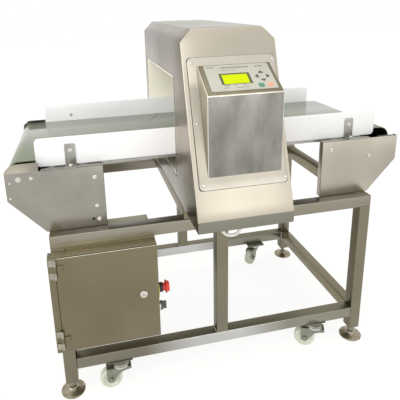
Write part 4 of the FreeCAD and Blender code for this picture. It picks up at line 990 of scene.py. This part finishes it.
# %% Cabinet
cab_low, cab_high = at("cabinet_shell")
CAB_TOP, STRIP, RIM = 503.0, 20.0, 18
face_y = cab_low.y
deck = face_y + 5
shell = [(cab_low.x, deck), (cab_high.x, deck), (cab_high.x, cab_high.y), (-464, cab_high.y),
         (-464, y1 - 1), (cab_low.x, y1 - 1)]
body = plate(shell, "z", cab_low.z, CAB_TOP - cab_low.z, 0)
doorway = (cab_low.x + STRIP + RIM, cab_low.z + RIM, cab_high.x - RIM, CAB_TOP - RIM)
for axis, spot in zip("xxzz", (doorway[0], doorway[2], doorway[1], doorway[3])):
    score(body, axis, spot)
opening = [f for f in body.faces if abs(f.calc_center_median().y / MM - deck) < 0.1
           and doorway[0] < f.calc_center_median().x / MM < doorway[2]
           and doorway[1] < f.calc_center_median().z / MM < doorway[3]]
bmesh.ops.delete(body, geom=opening, context="FACES")
outward(body)
bmesh.ops.solidify(body, geom=body.faces[:], thickness=1.5 * MM)
outward(body)
strip = block((cab_low.x, face_y, cab_low.z), (cab_low.x + STRIP - 1, deck, CAB_TOP), 1.2, 3)
hanger = block((x1 + TUBE, y1, CAB_TOP - 1), (cab_high.x, y1 + TUBE / 2, under_z), 0.8)
cabinet = welded(body, strip, hanger)
# Upward faces of the cabinet take the lighter copy: painted light.
face_finish(cabinet, 1, lambda n: n.z > 0.9)
show("cabinet_box", cabinet, door_steel, hides=["cabinet_shell"], others=[cabinet_top_painted_light])

door = block((cab_low.x + STRIP, face_y, cab_low.z), (cab_high.x, face_y + 2, CAB_TOP), 0)
rounded(door, 1.4, 4, [e for e in door.edges
                       if all(abs(v.co.y / MM - face_y) < 0.1 for v in e.verts)])
# The upward-facing bevel of the door takes the pale copy: painted highlight.
face_finish(door, 1, lambda n: n.y < -0.1 and 0.2 < n.z < 0.98)
pin_x, pin_y = cab_low.x + STRIP - 0.5, face_y - 4.8
door_parts, fixed = [door], []
KNUCKLE, GAP = 20, 0.15
for z in (CAB_TOP - 61, cab_low.z + 14):
    for i in range(3):
        low, high = z + KNUCKLE * i + GAP, z + KNUCKLE * (i + 1) - GAP
        knuckle = rod("z", (pin_x, pin_y, low), KNUCKLE - 2 * GAP, 4.5, 0.7)
        xa, xb = (pin_x, pin_x + 22) if i == 1 else (pin_x - 17, pin_x)
        leaf = block((xa, face_y - 2.5, low), (xb, face_y, high), 0.7)
        (door_parts if i == 1 else fixed).extend([knuckle, leaf])
    for end in (z - 1.2, z + 3 * KNUCKLE):
        fixed.append(rod("z", (pin_x, pin_y, end), 1.4, 3.6, 0.5))
show("cabinet_door_leaf", welded(door_parts), door_steel, "door", hides=["cabinet_door"],
     others=[door_edge_painted_highlight])
show("door_hinges", welded(fixed), hinge_steel, hides=["cabinet_hinges"])

lock_low, lock_high = at("cabinet_lock")
lock_x, lock_z = (lock_low.x + lock_high.x) / 2, 348.0
lock = [turned([(0, 0), (12, 0), (12, 1.2), (11, 2.6), (5, 3.2), (4.4, 1.2), (0, 1.2)],
               (0, -1, 0), (lock_x, face_y - 0.3, lock_z), 40),
        block((lock_x - 1.4, face_y - 4.2, lock_z - 4), (lock_x + 1.4, face_y - 1, lock_z + 4),
              0.4),
        block((lock_x - 7, face_y + 9, lock_z - 34), (lock_x + 7, face_y + 11.5, lock_z + 6), 1),
        rod("y", (lock_x, face_y - 0.3, lock_z), 14, 8.9)]
show("quarter_turn_lock", welded(lock), bright_steel, "lock", hides=["cabinet_lock"])

# %% Switches
stop_low, stop_high = at("estop_button")
wall_x = cab_high.x
sy, sz = (stop_low.y + stop_high.y) / 2, (stop_low.z + stop_high.z) / 2
right = (1, 0, 0)
base = turned([(0, 1), (16, 1), (16, 5.4), (14.6, 6.4), (14.6, 15.6), (13.6, 17), (12.4, 17),
               (12.4, 9.5), (7.2, 9.5), (7.2, 6), (0, 6)], right, (wall_x, sy, sz), 56)
show("estop_collar", base, black_abs, hides=["estop_base"])
ring = turned([(10, 0), (28, 0), (28, 3.4), (27.4, 4), (10, 4), (10, 0)], right,
              (wall_x, sy, sz), 64)
show("estop_yellow_disc", ring, yellow_ring)
cap = turned([(0, 25.3), (17.6, 25.3), (19.4, 26), (20, 27.4), (19.6, 28.8), (17.4, 30),
              (16.6, 31.4), (16.4, 34.6), (15, 36.6), (12.4, 37.3), (0, 37.3)], right,
             (wall_x, sy, sz), 64)
neck = turned([(0, -20), (6.9, -20), (6.9, 17.7), (11.9, 17.7), (11.9, 23.6), (16.4, 25.4),
               (0, 25.4)], right, (wall_x, sy, sz), 40)
show("estop_mushroom", welded(cap, neck), red_abs, "estop", hides=["estop_button"])
marks = []
for i in range(3):
    turn = math.radians(120 * i + 20)
    spot = Vector((wall_x + 37.2, sy + 9.5 * math.cos(turn), sz + 9.5 * math.sin(turn)))
    marks.append(block(spot - Vector((0.1, 1.4, 1.4)), spot + Vector((0.35, 1.4, 1.4)), 0.2))
show("estop_turn_marks", welded(marks), cable_white, "estop")
pick_low, pick_high = at("selector_knob")
kz = (pick_low.z + pick_high.z) / 2
bezel = turned([(0, 0), (15, 0), (15, 1.8), (14.2, 7), (12.8, 9), (6.2, 9), (6.2, 5), (0, 5)],
               right, (wall_x, sy, kz), 56)
show("selector_bezel", bezel, bright_steel, hides=["selector_base"])
grip = plate(rect(sy - 3.5, kz - 13, sy + 3.5, kz + 13), "x", wall_x + 12, 15, 1.0, 3, 2.4)
barrel = turned([(0, -20), (5.9, -20), (5.9, 9.3), (14, 9.3), (14, 13.6), (12.8, 15.3),
               (0, 15.3)], right, (wall_x, sy, kz), 48)
show("selector_handle", welded(grip, barrel), selector_grey, "selector", hides=["selector_knob"])
dress("cabinet_seal", foam_black)

# %% [markdown]
# The stage is a pale floor and a soft white room. The floor is lit white for the camera and for
# reflections but keeps the soft shadows under the machine.

# %% Floor, light and camera
def backdrop_rays(tree):
    """1 for camera, glossy and transmission rays, which see the white backdrop; 0 for light."""
    rays = tree.nodes.new("ShaderNodeLightPath").outputs
    mirror = add(tree, "ShaderNodeMath", {"operation": "MAXIMUM"}, i0=rays["Is Glossy Ray"],
                 i1=rays["Is Transmission Ray"])
    return add(tree, "ShaderNodeMath", {"operation": "MAXIMUM"}, i0=mirror.outputs[0],
               i1=rays["Is Camera Ray"]).outputs[0]


floor_mesh = bmesh.new()
bmesh.ops.create_grid(floor_mesh, x_segments=1, y_segments=1, size=14)
mesh = bpy.data.meshes.new("floor")
floor_mesh.to_mesh(mesh)
floor_mesh.free()
floor = linked("floor", mesh)
floor_mat = bpy.data.materials.new("pale_floor")
floor_mat.use_nodes = True
ft = floor_mat.node_tree
paint_coat = ft.nodes["Principled BSDF"]
paint_coat.inputs["Base Color"].default_value = paint("#c9c5ba")
paint_coat.inputs["Roughness"].default_value = 0.9
glow = add(ft, "ShaderNodeEmission", {"Strength": 1.2})
share = add(ft, RANGE, {4: 0.72}, Value=backdrop_rays(ft)).outputs[0]
blend = add(ft, "ShaderNodeMixShader", i0=share, i1=paint_coat.outputs[0], i2=glow.outputs[0])
ft.links.new(blend.outputs[0], ft.nodes["Material Output"].inputs["Surface"])
mesh.materials.append(floor_mat)

world = bpy.data.worlds.new("studio")
bpy.context.scene.world = world
world.use_nodes = True
wt = world.node_tree
back = wt.nodes["Background"]
sky = wt.nodes.new("ShaderNodeTexCoord")
split = add(wt, "ShaderNodeSeparateXYZ", Vector=sky.outputs["Generated"])
height = add(wt, RANGE, {1: -0.1, 2: 0.8, 3: 0.75, 4: 1.05}, Value=split.outputs["Z"]).outputs[0]
seen = add(wt, "ShaderNodeMix", {"data_type": "FLOAT", 3: 1.0}, i0=backdrop_rays(wt), i2=height)
wt.links.new(seen.outputs[0], back.inputs["Strength"])
back.inputs["Color"].default_value = (1, 1, 1, 1)


def lamp(name, spot, target, wide, high, watts, tint=(1, 1, 1)):
    data = bpy.data.lights.new(name, "AREA")
    data.shape = "RECTANGLE"
    data.size, data.size_y = wide, high
    data.energy = watts
    data.color = tint
    item = linked(name, data)
    item.location = spot
    item.rotation_euler = (Vector(target) - Vector(spot)).to_track_quat("-Z", "Y").to_euler()


lamp("window_panel", (1.0, -3.6, 1.3), (0, 0, 0.7), 2.4, 1.4, 16)
lamp("front_panel", (-1.6, -2.9, 2.9), (0, 0, 0.7), 2.2, 1.6, 25)
lamp("left_panel", (-3.3, -1.2, 1.6), (0, 0.2, 0.85), 1.6, 1.4, 40)
lamp("right_panel", (3.4, -2.5, 0.8), (0.4, 0, 0.6), 1.6, 1.4, 6, (1, 0.96, 0.9))
lamp("ceiling_panel", (0.2, -0.4, 3.3), (0, 0, 0.6), 2.4, 2.4, 12)

camera = bpy.data.cameras.new("camera")
view = linked("camera", camera)
# Focal length and optical centre, in the units in which the square view is SIDE wide.
FOCAL, CX, CY, SIDE, SENSOR = 440.8, 176.3, 126.8, 400, 36
camera.sensor_width = SENSOR
camera.lens = FOCAL / SIDE * SENSOR
camera.shift_x = (SIDE / 2 - CX) / SIDE
camera.shift_y = (CY - SIDE / 2) / SIDE
turn = Vector((1.8315, -0.2216, 0.1271))
look = Matrix.Rotation(turn.length, 3, turn.normalized())
flip = Matrix(((1, 0, 0), (0, -1, 0), (0, 0, -1)))
spot = Vector((-381.5, -1151.8 - 209.25, 616.1 + 550)) * MM
view.matrix_world = Matrix.Translation(spot) @ (look.transposed() @ flip).to_4x4()
bpy.context.scene.camera = view
bpy.context.scene.view_settings.view_transform = "Standard"
